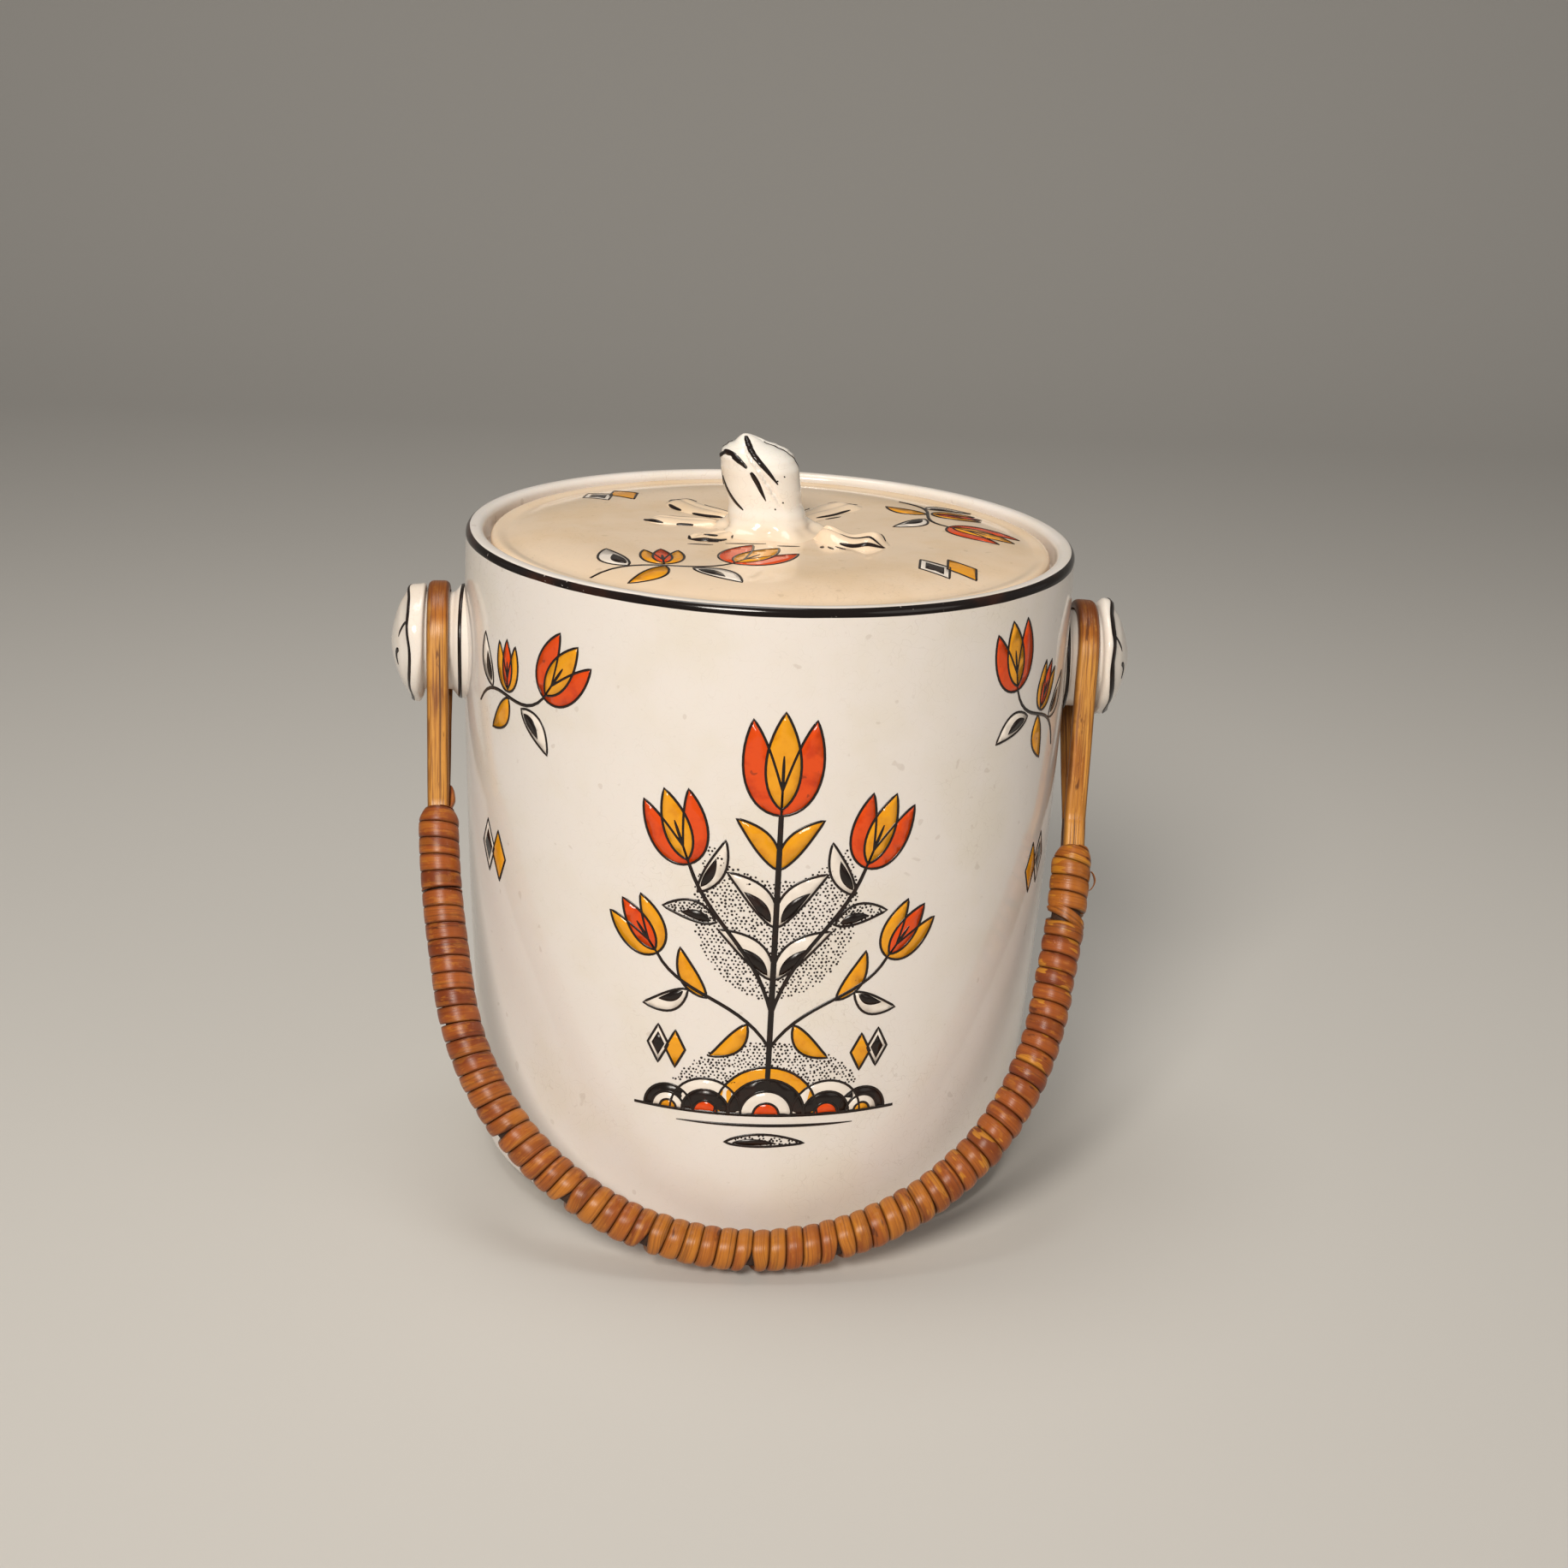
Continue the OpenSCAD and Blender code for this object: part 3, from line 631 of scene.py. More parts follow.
# ---------------------------------------------------------------- earthenware
def build_body(jar):
    """The jar: one closed skin from the floor inside, over the seat and rim, to the foot."""
    low = jar.foot_height + jar.floor
    in_z = low + jar.inner_bend
    in_x = side_radius(jar, in_z) - jar.wall - jar.inner_bend
    slope_z = jar.seat_z - jar.seat_drop - SEAT_SLOPE
    out_z = jar.foot_height + jar.bend
    out_x = side_radius(jar, out_z) - jar.bend
    wall_top = jar.height - jar.crest
    nose, corner = 0.6, 0.5             # radii of the seat's free edge and of its inner corner
    profile = [(0, low)] + run((HUB + 2, low), (in_x, low), 8)
    profile += arc(in_x, in_z, jar.inner_bend, -80, -5, 8)
    inner_wall = run((0, in_z + 2), (0, slope_z), 12)
    profile += [(side_radius(jar, z) - jar.wall, z) for _, z in inner_wall]
    profile += arc(jar.seat_radius + corner, jar.seat_z - jar.seat_drop, corner, 215, 180, 2)
    profile += arc(jar.seat_radius + nose, jar.seat_z - nose, nose, 180, 90, 4)
    profile += run((jar.seat_radius + 2 * nose, jar.seat_z),
                   (jar.mouth_radius - 0.8, jar.seat_z), 2)
    profile += arc(jar.mouth_radius - corner, jar.seat_z + corner, corner, -80, 0, 3)
    profile += [(jar.mouth_radius, z) for _, z in run((0, jar.seat_z + 1.2), (0, wall_top), 3)]
    profile += arc(jar.mouth_radius + jar.crest, wall_top, jar.crest, 165, 90, 5)
    profile += arc(jar.rim_radius - jar.crest, wall_top, jar.crest, 90, 0, 7)
    profile += [(side_radius(jar, z), z) for _, z in run((0, wall_top - 0.6), (0, out_z), 46)]
    profile += arc(out_x, out_z, jar.bend, -6, -84, 12)
    ring, wide, soft = jar.foot_radius, jar.foot_width, jar.foot_width / 4
    profile += [(ring + 1.2, jar.foot_height), (ring + 0.25, jar.foot_height - 0.1),
                (ring, jar.foot_height - 0.5)]
    profile += arc(ring - soft, soft, soft, 0, -90, 4)
    profile += arc(ring - wide + soft, soft, soft, 270, 180, 4)
    profile += [(ring - wide, jar.foot_height - 0.3), (ring - wide - 0.5, jar.foot_height)]
    profile += run((ring - wide - 4, jar.foot_height), (HUB, jar.foot_height), 6)
    profile.append((0, jar.foot_height))

    def place(r, z, a):
        return about(a, r + wobble(a, z) * smooth(z / 20), z)
    verts, faces = turned(profile, jar.steps, place)
    obj = piece("jar_skin", verts, faces, "body", "jar", "glazed_body", sharp=50)
    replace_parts(obj, "jar_body")


def build_lid(jar, lid):
    """The lid disc with its edge bead and locating ring."""
    ring, wide, deep = lid.skirt_radius, lid.skirt_width, lid.under_z - lid.skirt_height
    bead, soft = lid.bead, 0.7          # soft: radius of the ring's lower edges
    profile = [(0, lid.top_z)]
    profile += [(r, lid_height(lid, r)) for r, _ in run((HUB, 0), (lid.radius - 3 * bead, 0), 26)]
    outer = run((lid.radius - 2.6 * bead, 0), (lid.radius - bead, 0), 5)
    profile += [(r, lid_height(lid, r)) for r, _ in outer]
    profile += arc(lid.radius - bead, lid.edge_z - bead, bead, 80, 0, 6)
    profile += arc(lid.radius - bead, lid.under_z + bead, bead, 0, -90, 5)
    profile += [(ring + 0.5, lid.under_z), (ring, lid.under_z - 0.5)]
    profile += arc(ring - soft, deep + soft, soft, 0, -90, 3)
    profile += arc(ring - wide + soft, deep + soft, soft, 270, 180, 3)
    profile += [(ring - wide, lid.under_z - 0.6), (ring - wide - 0.6, lid.under_z)]
    profile += run((ring - wide - 5, lid.under_z), (HUB, lid.under_z), 5) + [(0, lid.under_z)]

    def place(r, z, a):
        warp = 0.06 * math.sin(2 * a + 1) + 0.04 * math.sin(5 * a)
        return about(a, r, z + warp * smooth((r - 20) / 40))
    verts, faces = turned(profile, jar.steps, place)
    obj = piece("lid_disc", verts, faces, "lid", "lid", "glazed_lid", sharp=50)
    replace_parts(obj, "lid")


# share of the bud's height, and its radius there in mm
BUD_WIDTH = [(-0.03, 14.6), (0.0, 12.9), (0.03, 11.0), (0.08, 9.6), (0.16, 8.75), (0.30, 8.2),
             (0.50, 8.5), (0.66, 8.7), (0.76, 8.3), (0.83, 7.3), (0.88, 5.6), (0.92, 3.5),
             (0.955, 2.4), (0.985, 1.6), (1.0, 0.8)]


def bud_surface(lid):
    """Point and normal of the bud: angle from +X, share of the height."""
    def raw(a, t):
        lean = -0.6 - 3.5 * t - 2.4 * max(0.0, (t - 0.65) / 0.35) ** 1.6
        r = level(BUD_WIDTH, t)
        turn = ((a + math.radians(83) + math.radians(67) * (t - 0.5)) * 3 / (2 * math.pi)) % 1.0
        petal = (1 - turn) * smooth(turn / 0.07) + smooth((turn - 0.96) / 0.04) * turn
        grow = smooth((t - 0.22) / 0.3) * smooth((1.02 - t) / 0.12)
        r += 1.15 * (petal - 0.5) * grow
        foot, lobes = smooth((0.16 - t) / 0.16), math.sin(5 * a + 0.8)
        r += foot * (1.1 * lobes + 0.5 * math.sin(9 * a))
        z = lid.top_z + lid.knob_height * max(t, -0.02) + 0.35 * lobes * foot * smooth(t / 0.05)
        return Vector((lean + r * math.cos(a), r * 0.97 * math.sin(a), z))

    def at(a, t):
        here = raw(a, t)
        across = raw(a + 0.02, t) - raw(a - 0.02, t)
        along = raw(a, min(1.0, t + 0.01)) - raw(a, t - 0.01)
        return here, across.cross(along).normalized()
    return at


def build_bud(lid):
    """The twisted bud, spreading at its foot into the lid."""
    at = bud_surface(lid)
    heights = [-0.03, 0.0, 0.015, 0.03, 0.05] + [0.05 + 0.95 * i / 44 for i in range(1, 45)]
    angles = [2 * math.pi * k / AROUND for k in range(AROUND)]
    heap = Heap()
    heap.pod([[at(a, t)[0] for a in angles] for t in heights], UP * 0.15)
    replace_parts(heap.make("bud", "bud", "lid", "glazed_lid"), "lid_knob")


# azimuth, root radius, length, width, height, sideways bend
LEAVES = {
    "leaf_back_left": (128, 10.5, 25, 10, 1.1, 0.14),
    "leaf_left": (168, 10.5, 19, 8.5, 1.0, -0.10),
    "leaf_front_left": (212, 10.0, 12.5, 8.5, 1.0, 0.12),
    "leaf_front_right": (-30, 10.5, 18.5, 12, 2.6, -0.10),
    "leaf_back_right": (52, 10.5, 26, 9.5, 1.1, 0.12),
}
# brush strokes on each leaf: points as shares of its length and half width, then the width
LEAF_STROKES = {
    "leaf_back_left": (
        ((0.06, -0.75), (0.3, -0.82), (0.62, -0.86), 0.7),
        ((0.74, -0.8), (0.9, -0.6), (0.975, 0.0), (0.9, 0.6), 0.85),
        ((0.78, 0.84), (0.66, 0.88), (0.56, 0.9), 0.8),
        ((0.42, 0.9), (0.28, 0.9), (0.10, 0.82), 0.7)),
    "leaf_left": (
        ((0.97, -0.2), (0.95, 0.3), (0.86, 0.72), (0.72, 0.88), 0.95),
        ((0.56, 0.92), (0.46, 0.92), (0.36, 0.9), 0.8),
        ((0.8, -0.84), (0.55, -0.86), (0.3, -0.8), 0.6)),
    "leaf_front_left": (
        ((0.9, -0.6), (0.97, 0.1), (0.88, 0.7), (0.6, 0.9), (0.4, 0.92), 0.95),
        ((0.72, 0.1), (0.62, 0.3), (0.5, 0.42), 1.3),
        ((0.26, 0.92), (0.12, 0.9), (0.02, 0.8), 0.8)),
    "leaf_front_right": (
        ((0.02, 0.62), (0.16, 0.8), (0.34, 0.9), (0.52, 0.9), 1.0),
        ((0.68, 0.86), (0.82, 0.72), (0.9, 0.5), 0.8),
        ((0.12, -0.05), (0.32, -0.12), (0.55, -0.3), (0.8, -0.42), (0.965, -0.3), 0.75),
        ((0.48, -0.86), (0.66, -0.88), (0.86, -0.74), (0.96, -0.45), 0.85)),
    "leaf_back_right": (
        ((0.1, 0.85), (0.3, 0.88), (0.5, 0.9), 0.5),
        ((0.76, 0.84), (0.92, 0.6), (0.975, 0.0), 0.8),
        ((0.7, -0.86), (0.45, -0.88), (0.2, -0.84), 0.5)),
}
# brush strokes on the bud: points as degrees from +X and share of its height, then the width
# and how much it thins towards the end
BUD_STROKES = (
    (((-104, 0.99), (-101, 0.94), (-95.5, 0.86), (-88, 0.76), (-80, 0.66), (-71, 0.56)), 1.6, 0.6),
    (((-182, 0.76), (-165, 0.815), (-145, 0.825), (-126, 0.78), (-114, 0.71)), 1.7, 0.3),
    (((-109, 0.67), (-102, 0.58), (-96, 0.47), (-91, 0.38)), 1.3, 0.7),
    (((-176, 0.56), (-160, 0.42), (-146, 0.33), (-130, 0.26)), 1.3, 0.6),
    (((-10, 0.93), (-2, 0.76), (12, 0.55), (24, 0.36)), 1.0, 0.7),
    (((70, 0.95), (84, 0.72), (98, 0.50)), 1.0, 0.7),
    (((150, 0.9), (165, 0.66), (178, 0.46)), 1.0, 0.7),
)
BUD_SPECKS = ((-72, 0.60), (-66, 0.37), (-60, 0.64), (-79, 0.30), (40, 0.5), (120, 0.4))
# dabs on the flat of the lid: middle, direction in degrees, length and width
LID_DABS = (
    (10.2, -15.6, 78, 2.2, 1.1), (12.0, -16.2, 112, 2.6, 1.1), (14.2, -16.0, 128, 3.4, 1.0),
    (-6.5, -14.6, 6, 9.0, 0.8), (-14.5, -13.6, -8, 4.2, 1.1), (2.8, -15.8, 2, 5.0, 0.9),
    (-16.5, -16.6, -4, 5.6, 0.8), (15, 13.5, 40, 5, 0.8), (-13, 14, 150, 5, 0.8),
)
# marks on the caps: angle and place along the outline from the wavy line, then the width; a
# hook off the line, a comma and two short strokes
CAP_MARKS = (
    ((0.97, 0.2), (0.94, 2.0), (0.96, 3.9), (1.05, 5.5), (1.17, 6.6), 0.85),
    ((1.50, 6.8), (1.56, 8.4), (1.74, 8.9), (1.95, 7.7), 1.4),
    ((4.3, 0.8), (4.05, 2.8), (3.6, 4.2), 0.75),
    ((5.4, 2.2), (5.25, 4.2), (5.5, 6.0), 0.9),
)


def leaf_surface(lid, azimuth, root, long, wide, high, bend):
    """Point and normal of a pressed leaf: share of the length, share of the half width."""
    turn = Matrix.Rotation(math.radians(azimuth), 3, "Z")
    lobed = 1.0 if high > 2 else 0.45

    def raw(u, v):
        half = wide / 2 * (0.42 + 0.58 * smooth(u / 0.55)) * math.sqrt(max(0.0, 1 - u ** 5)) + 0.05
        lobes = lobed * math.cos(2 * math.pi * (u * 1.6 + 0.1) + (0.9 if v > 0 else 0))
        side = 4 * bend * long * u * (1 - u) * 0.5
        swell = max(0.0, 1 - abs(v) ** 3) * smooth(u / 0.16) * smooth((1.0 - u) / 0.22)
        groove = 1 - 0.45 * math.exp(-((v + 0.1) / 0.16) ** 2) * (1 - u * 0.5)
        p = turn @ Vector((root + long * u, side + half * (1 - 0.16 * lobes) * v, 0))
        sunk = 0.12
        p.z = lid_height(lid, p.xy.length) - sunk
        p.z += (high + sunk) * swell * groove * (1 - 0.25 * lobes) / 1.12
        return p

    def at(u, v):
        u = min(0.985, max(0.015, u))
        across = raw(u, v + 0.03) - raw(u, v - 0.03)
        along = raw(u + 0.01, v) - raw(u - 0.01, v)
        return raw(u, v), along.cross(across).normalized()
    return at


def build_leaves(lid):
    """Five low leaves pressed onto the lid round the bud."""
    for name, facts in LEAVES.items():
        at = leaf_surface(lid, *facts)
        heap = Heap()
        top = [[at(i / 26, -1 + j / 9)[0] for j in range(19)] for i in range(27)]
        heap.grid([list(reversed(row)) for row in top])
        floor = [[p - UP * (p.z - lid_height(lid, p.xy.length) + 0.2) for p in row] for row in top]
        heap.grid(floor)
        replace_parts(heap.make(name + "_relief", "lid", "lid", "glazed_lid"), name)


def lug_surface(lug, h, side):
    """Point and normal of a lug: angle round its axis, place along its outline."""
    if side < 0:
        loop, lean, lift, flare = h.left_x, h.left_lean, -lug.left_drop, 1.9
        tilt, turn = math.tan(lug.left_tilt), 0.0
    else:
        loop, lean, lift, flare = h.right_x, h.right_lean, lug.right_rise, 1.2
        tilt, turn = math.tan(lug.right_tilt), math.tan(lug.right_turn)
    slack = h.strip_width / 2 + lug.loop_side
    slack += (lug.neck_radius + h.loop_clear + h.strip_thick) * math.sin(lean)
    inner, outer = loop - slack, loop + slack
    band, tip = outer + lug.band, outer + lug.band + lug.dome
    mark = inner - flare
    # distance from the jar's axis and radius: root and collar, neck, cap with its band
    outline = [(lug.root, lug.collar_radius + 1.1)]
    outline += [(mark + x, lug.collar_radius + r) for x, r in (
        (-2.6, 0.8), (-1.3, 0.4), (-0.6, 0.12), (0, 0), (0.5, -0.12))]
    wall = len(outline) - 2
    outline += [(x, lug.neck_radius + r) for x, r in (
        (inner - 0.45, 0.45), (inner - 0.12, 0.18), (inner + 0.3, 0), ((inner + outer) / 2, 0),
        (outer - 0.3, 0), (outer, 0.25))]
    outline += [(x, lug.cap_radius + r) for x, r in (
        (outer + 0.05, -1.1), (outer + 0.25, -0.5), (outer + 0.6, -0.15), (outer + 1.1, 0),
        ((outer + band) / 2, 0.05), (band - 0.6, -0.05), (band - 0.2, -0.22), (band + 0.15, -0.5),
        (band + 0.42, -0.85), (band + 0.62, -1.25))]
    seam = len(outline) - 3
    foot, foot_r = outline[-1]
    for i in range(1, 17):
        k = i / 16
        dent = 0.2 * math.sin(math.pi * min(1, 4 * k)) * (1 - k)
        x = foot + (tip - foot) * (1 - (1 - k) ** 1.65) - dent
        outline.append((x, foot_r * (1 - k ** 1.15)))

    def raw(a, s):
        i = min(len(outline) - 2, max(0, int(s)))
        f = min(1.0, max(0.0, s - i))
        x, r = (p + (q - p) * f for p, q in zip(outline[i], outline[i + 1]))
        on_cap = smooth((x - outer - 0.1) / 1.4)
        petals = (math.cos(6 * a + 0.6) + 0.45 * math.cos(3 * a + 1.3 * side)
                  + 0.2 * math.cos(11 * a))
        near_line = math.exp(-((s - seam) / 3.2) ** 2)
        r *= 1 + 0.014 * petals * on_cap * smooth(r / 9)
        x += 0.16 * petals * on_cap * near_line
        x += smooth((x - outer) / 3.0) * r * (math.cos(a) * tilt - math.sin(a) * turn)
        collar = 1 - smooth((x - mark - 1) / 0.8)
        r *= 1 + 0.008 * math.sin(3 * a + 2 * side) * collar
        return Vector((side * x, -r * math.sin(a), lug.axis_z + r * math.cos(a) + lift * on_cap))

    def at(a, s):
        across = raw(a + 0.03, s) - raw(a - 0.03, s)
        along = raw(a, min(len(outline) - 1.01, s + 0.2)) - raw(a, s - 0.2)
        return raw(a, s), (across.cross(along) * side).normalized()
    at.count, at.seam, at.wall = len(outline), seam, wall
    return at


def build_lugs(lug, h):
    """Two cast spools on the shoulders; the caps have a wavy rim band and a low soft dome."""
    for side, name in ((-1, "left_lug"), (1, "right_lug")):
        at = lug_surface(lug, h, side)
        angles = [2 * math.pi * k / AROUND * -side for k in range(AROUND)]
        rings = [[at(a, i)[0] for a in angles] for i in range(at.count - 1)]
        heap = Heap()
        heap.pod(rings, Vector((side * 0.05, 0, 0)))
        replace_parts(heap.make(name + "_cast", "white", "jar", "glazed_body", sharp=60), name)


# ---------------------------------------------------------------- paint
def ribbon(heap, at, path, width, lift, taper=0.0, closed=False, tail=0.0):
    """A raised line on a surface: path in the surface's own coordinates, width in mm.

    taper thins both ends, tail thins the far end, as a lifted brush does.
    """
    n = len(path)
    places = [at(*p) for p in path]
    section = ((-1, -BURIED), (-0.96, lift * 0.8), (0, lift + 0.02), (0.96, lift * 0.8),
               (1, -BURIED))
    rows = []
    for i, (here, normal) in enumerate(places):
        if closed:
            ahead, behind = places[(i + 1) % n][0], places[i - 1][0]
        else:
            ahead, behind = places[min(n - 1, i + 1)][0], places[max(0, i - 1)][0]
        side = normal.cross(ahead - behind).normalized()
        share = i / max(1, n - 1)
        w = width * (1 - taper * abs(2 * share - 1) ** 3) * (1 - tail * share ** 1.5) / 2
        rows.append([here + side * w * across + normal * up for across, up in section])
    heap.grid(rows, close_u=closed)


def inside(outline, x, y):
    """Whether a point lies within a closed outline."""
    hit = False
    for (x0, y0), (x1, y1) in zip(outline, outline[1:] + outline[:1]):
        if (y0 > y) != (y1 > y) and x < (x1 - x0) * (y - y0) / (y1 - y0) + x0:
            hit = not hit
    return hit


def patch(heap, at, outline, lift, grain=2.2):
    """A filled shape on a surface, with edges down to the glaze."""
    xs, ys = [p[0] for p in outline], [p[1] for p in outline]
    points = [Vector(p) for p in outline]
    x = min(xs) + grain / 2
    while x < max(xs):
        y = min(ys) + grain / 2
        while y < max(ys):
            edge = min(math.hypot(x - px, y - py) for px, py in outline)
            if inside(outline, x, y) and edge > grain / 3:
                points.append(Vector((x, y)))
            y += grain
        x += grain
    flat, _, tris = delaunay_2d_cdt(points, [], [list(range(len(outline)))], 1, 1e-5)[:3]
    start = len(heap.verts)
    for p in flat:
        here, normal = at(p.x, p.y)
        heap.verts.append(here + normal * lift)
    sides = {}                          # in the order they are met
    for a, b, c in tris:
        area = (flat[b] - flat[a]).cross(flat[c] - flat[a])
        tri = (a, b, c) if area > 0 else (a, c, b)
        heap.faces.append(tuple(start + i for i in tri))
        sides.update(dict.fromkeys(zip(tri, tri[1:] + tri[:1])))
    under = {}
    for a, b in [e for e in sides if (e[1], e[0]) not in sides]:
        for i in (a, b):
            if i not in under:
                here, normal = at(flat[i].x, flat[i].y)
                under[i] = len(heap.verts)
                heap.verts.append(here - normal * BURIED)
        heap.faces.append((start + b, start + a, under[a], under[b]))


def finer(points, step=0.7, closed=False):
    """The same line with points about one step apart."""
    out = []
    for a, b in zip(points, points[1:] + points[:1] if closed else points[1:]):
        out += run(a, b, max(1, int(math.dist(a, b) / step)))[:-1]
    return out if closed else out + [points[-1]]


def flowing(points, n=9):
    """A smooth line through the points."""
    def between(p, q, r, u, s):
        """A share of the way from q to r, in a curve that heads on from p and towards u."""
        return 0.5 * (2 * q + (r - p) * s + (2 * p - 5 * q + 4 * r - u) * s * s
                      + (3 * q - p - 3 * r + u) * s ** 3)
    ends = [points[0], *points, points[-1]]
    out = []
    for four in zip(ends, ends[1:], ends[2:], ends[3:]):
        out += [tuple(between(*values, k / n) for values in zip(*four)) for k in range(n)]
    return out + [points[-1]]


def curve(p0, p1, p2, p3, n=14):
    """Cubic Bezier points."""
    out = []
    for i in range(n + 1):
        t = i / n
        w = ((1 - t) ** 3, 3 * t * (1 - t) ** 2, 3 * t * t * (1 - t), t ** 3)
        out.append(tuple(sum(k * p[c] for k, p in zip(w, (p0, p1, p2, p3))) for c in (0, 1)))
    return out


def lens(base, tip, width, bend=0.0, full=0.85, n=12):
    """Leaf outline between two points."""
    bx, by = base
    dx, dy = tip[0] - bx, tip[1] - by
    long = math.hypot(dx, dy)
    left, right = [], []
    for i in range(n + 1):
        t = i / n
        off = 4 * bend * long * t * (1 - t)
        half = width / 2 * math.sin(math.pi * t ** full) ** 0.85
        for line, s in ((left, 1), (right, -1)):
            k = off + s * half
            line.append((bx + dx * t - dy / long * k, by + dy * t + dx / long * k))
    return left + right[-2:0:-1]


class Brush:
    """Gathers painted shapes in millimetres on one surface, then makes one piece per colour."""

    def __init__(self, paint, at, tag, body, slot):
        self.paint, self.at, self.tag, self.body, self.slot = paint, at, tag, body, slot
        self.heaps = {}
        self.origin, self.turn, self.scale, self.flip = (0.0, 0.0), 0.0, 1.0, 1.0

    def move(self, x, y, turn=0.0, scale=1.0, flip=False):
        """Draw from now on round a point, turned by degrees, scaled and perhaps mirrored."""
        self.origin, self.turn, self.scale = (x, y), math.radians(turn), scale
        self.flip = -1.0 if flip else 1.0
        return self

    def map(self, pts):
        """The drawing's points as points of the surface."""
        c, s = math.cos(self.turn) * self.scale, math.sin(self.turn) * self.scale
        x0, y0 = self.origin
        return [(x0 + self.flip * (px * c - py * s), y0 + px * s + py * c) for px, py in pts]

    def heap(self, key):
        """The points and faces of one colour so far."""
        return self.heaps.setdefault(key, Heap())

    def shape(self, key, pts, edge=True, layer=0):
        """A filled shape, with a printed outline round it; a higher layer lies on a lower one."""
        pts = self.map(pts)
        area = sum(a[0] * b[1] - a[1] * b[0] for a, b in zip(pts, pts[1:] + pts[:1]))
        if area < 0:
            pts.reverse()
        patch(self.heap(key), self.at, pts, self.paint.fill_lift * (1 + 0.35 * layer))
        if edge:
            ribbon(self.heap("ink"), self.at, finer(pts, closed=True), self.paint.outline,
                   self.paint.line_lift * (1 + 0.2 * layer), closed=True)

    def ring(self, pts):
        """An outline alone, with nothing inside."""
        ribbon(self.heap("ink"), self.at, finer(self.map(pts), closed=True), self.paint.outline,
               self.paint.line_lift, closed=True)

    def line(self, pts, width=None, taper=0.6):
        """An open printed line."""
        ribbon(self.heap("ink"), self.at, finer(self.map(pts)), width or self.paint.outline,
               self.paint.line_lift, taper)

    def dots(self, region, gap, seed):
        """Stipple inside an outline, thinning out at random."""
        rng = random.Random(seed)
        region = self.map(region)
        xs, ys = [p[0] for p in region], [p[1] for p in region]
        y, odd = min(ys), False
        while y < max(ys):
            x = min(xs) + (gap / 2 if odd else 0)
            while x < max(xs):
                u, v = x + rng.uniform(-0.2, 0.2), y + rng.uniform(-0.2, 0.2)
                if inside(region, u, v) and rng.random() < 0.95:
                    r = self.paint.dot * rng.uniform(0.75, 1.25)
                    dot = arc(u, v, r, 0, 300, 5)
                    patch(self.heap("ink"), self.at, dot, self.paint.fill_lift * 0.8)
                x += gap
            y, odd = y + gap * 0.8, not odd

    def make(self):
        """One finished piece for each colour."""
        for key, heap in self.heaps.items():
            heap.make(f"{self.tag}_{key}", key, self.body, self.slot)


def tulip(brush, outer="flame", inner="amber", tall=20.0, wide=17.0):
    """A closed tulip standing on the origin: three petals, the middle one veined."""
    h, w = tall, wide / 2
    for s in (-1, 1):
        tip = (s * w * 0.78, h * 0.98)
        petal = curve((0, 0), (s * w * 0.95, h * 0.02), (s * w * 1.25, h * 0.55), tip)
        petal += curve(tip, (s * w * 0.42, h * 0.80), (s * w * 0.2, h * 0.5), (0, h * 0.26))[1:]
        brush.shape(outer, petal)
    foot, tip = (0, h * 0.06), (0, h * 1.06)
    heart = curve(foot, (-w * 0.62, h * 0.25), (-w * 0.55, h * 0.72), tip)
    heart += curve(tip, (w * 0.55, h * 0.72), (w * 0.62, h * 0.25), foot)[1:-1]
    brush.shape(inner, heart, layer=1)
    brush.line([(0, h * 0.2), (0, h * 0.62)], brush.paint.outline * 1.3)


def leaf_mark(brush, base, tip, width, bend=0.0, kind="reserve"):
    """A lancet leaf: a light reserve or a stippled one with a dark heart, or one flat colour."""
    def along(x, y, share):
        return base[0] + (x - base[0]) * share, base[1] + (y - base[1]) * share
    outline = lens(base, tip, width, bend)
    if kind == "dotted":
        brush.ring(outline)
        brush.dots([along(x, y, 0.96) for x, y in outline], 0.85, 11)
    else:
        brush.shape(kind, outline)
    if kind != "amber":
        heart = lens(along(*tip, 0.10), along(*tip, 0.66), width * 0.5, bend * 0.7)
        brush.shape("ink", heart, edge=False, layer=1)


def fan(brush, x, y, r, colours):
    """A rising half-round fan of nested bands."""
    for i, key in enumerate(colours):
        brush.shape(key, arc(x, y, r * (1 - i / len(colours)), 0, 180, 18), layer=i)


# leaves of one half of the bunch: base, tip, width, bend, kind
BUNCH_LEAVES = (
    ((0, 32), (12, 43), 5.0, 0.10, "reserve"),
    ((0, 44), (10.5, 56), 4.8, 0.10, "reserve"),
    ((0, 57), (9, 68), 4.2, 0.08, "amber"),
    ((12.5, 44.5), (24, 47), 4.4, 0.10, "dotted"),
    ((16.5, 51), (11, 63), 4.0, 0.08, "reserve"),
    ((14, 27), (20, 38), 4.0, -0.10, "amber"),
    ((18, 28.5), (28, 24), 4.2, -0.12, "reserve"),
    ((5, 21.5), (13, 13.5), 4.0, -0.12, "amber"),
)
# tulips of the bunch: foot, turn in degrees, height, width, outer and inner colour
BUNCH_TULIPS = (
    (0, 69, 0, 21, 16.5, "flame", "amber"), (-18.5, 57, 20, 16, 13, "flame", "amber"),
    (18.5, 57, -20, 16, 13, "flame", "amber"), (-25, 36, 36, 13, 11, "amber", "flame"),
    (25, 36, -36, 13, 11, "amber", "flame"),
)
# tulips of a spray, in the same order
SPRAY_TULIPS = (
    (8, 3, -24, 12, 10.5, "flame", "amber"), (-1.5, -0.5, 14, 8.5, 6.5, "amber", "flame"),
)


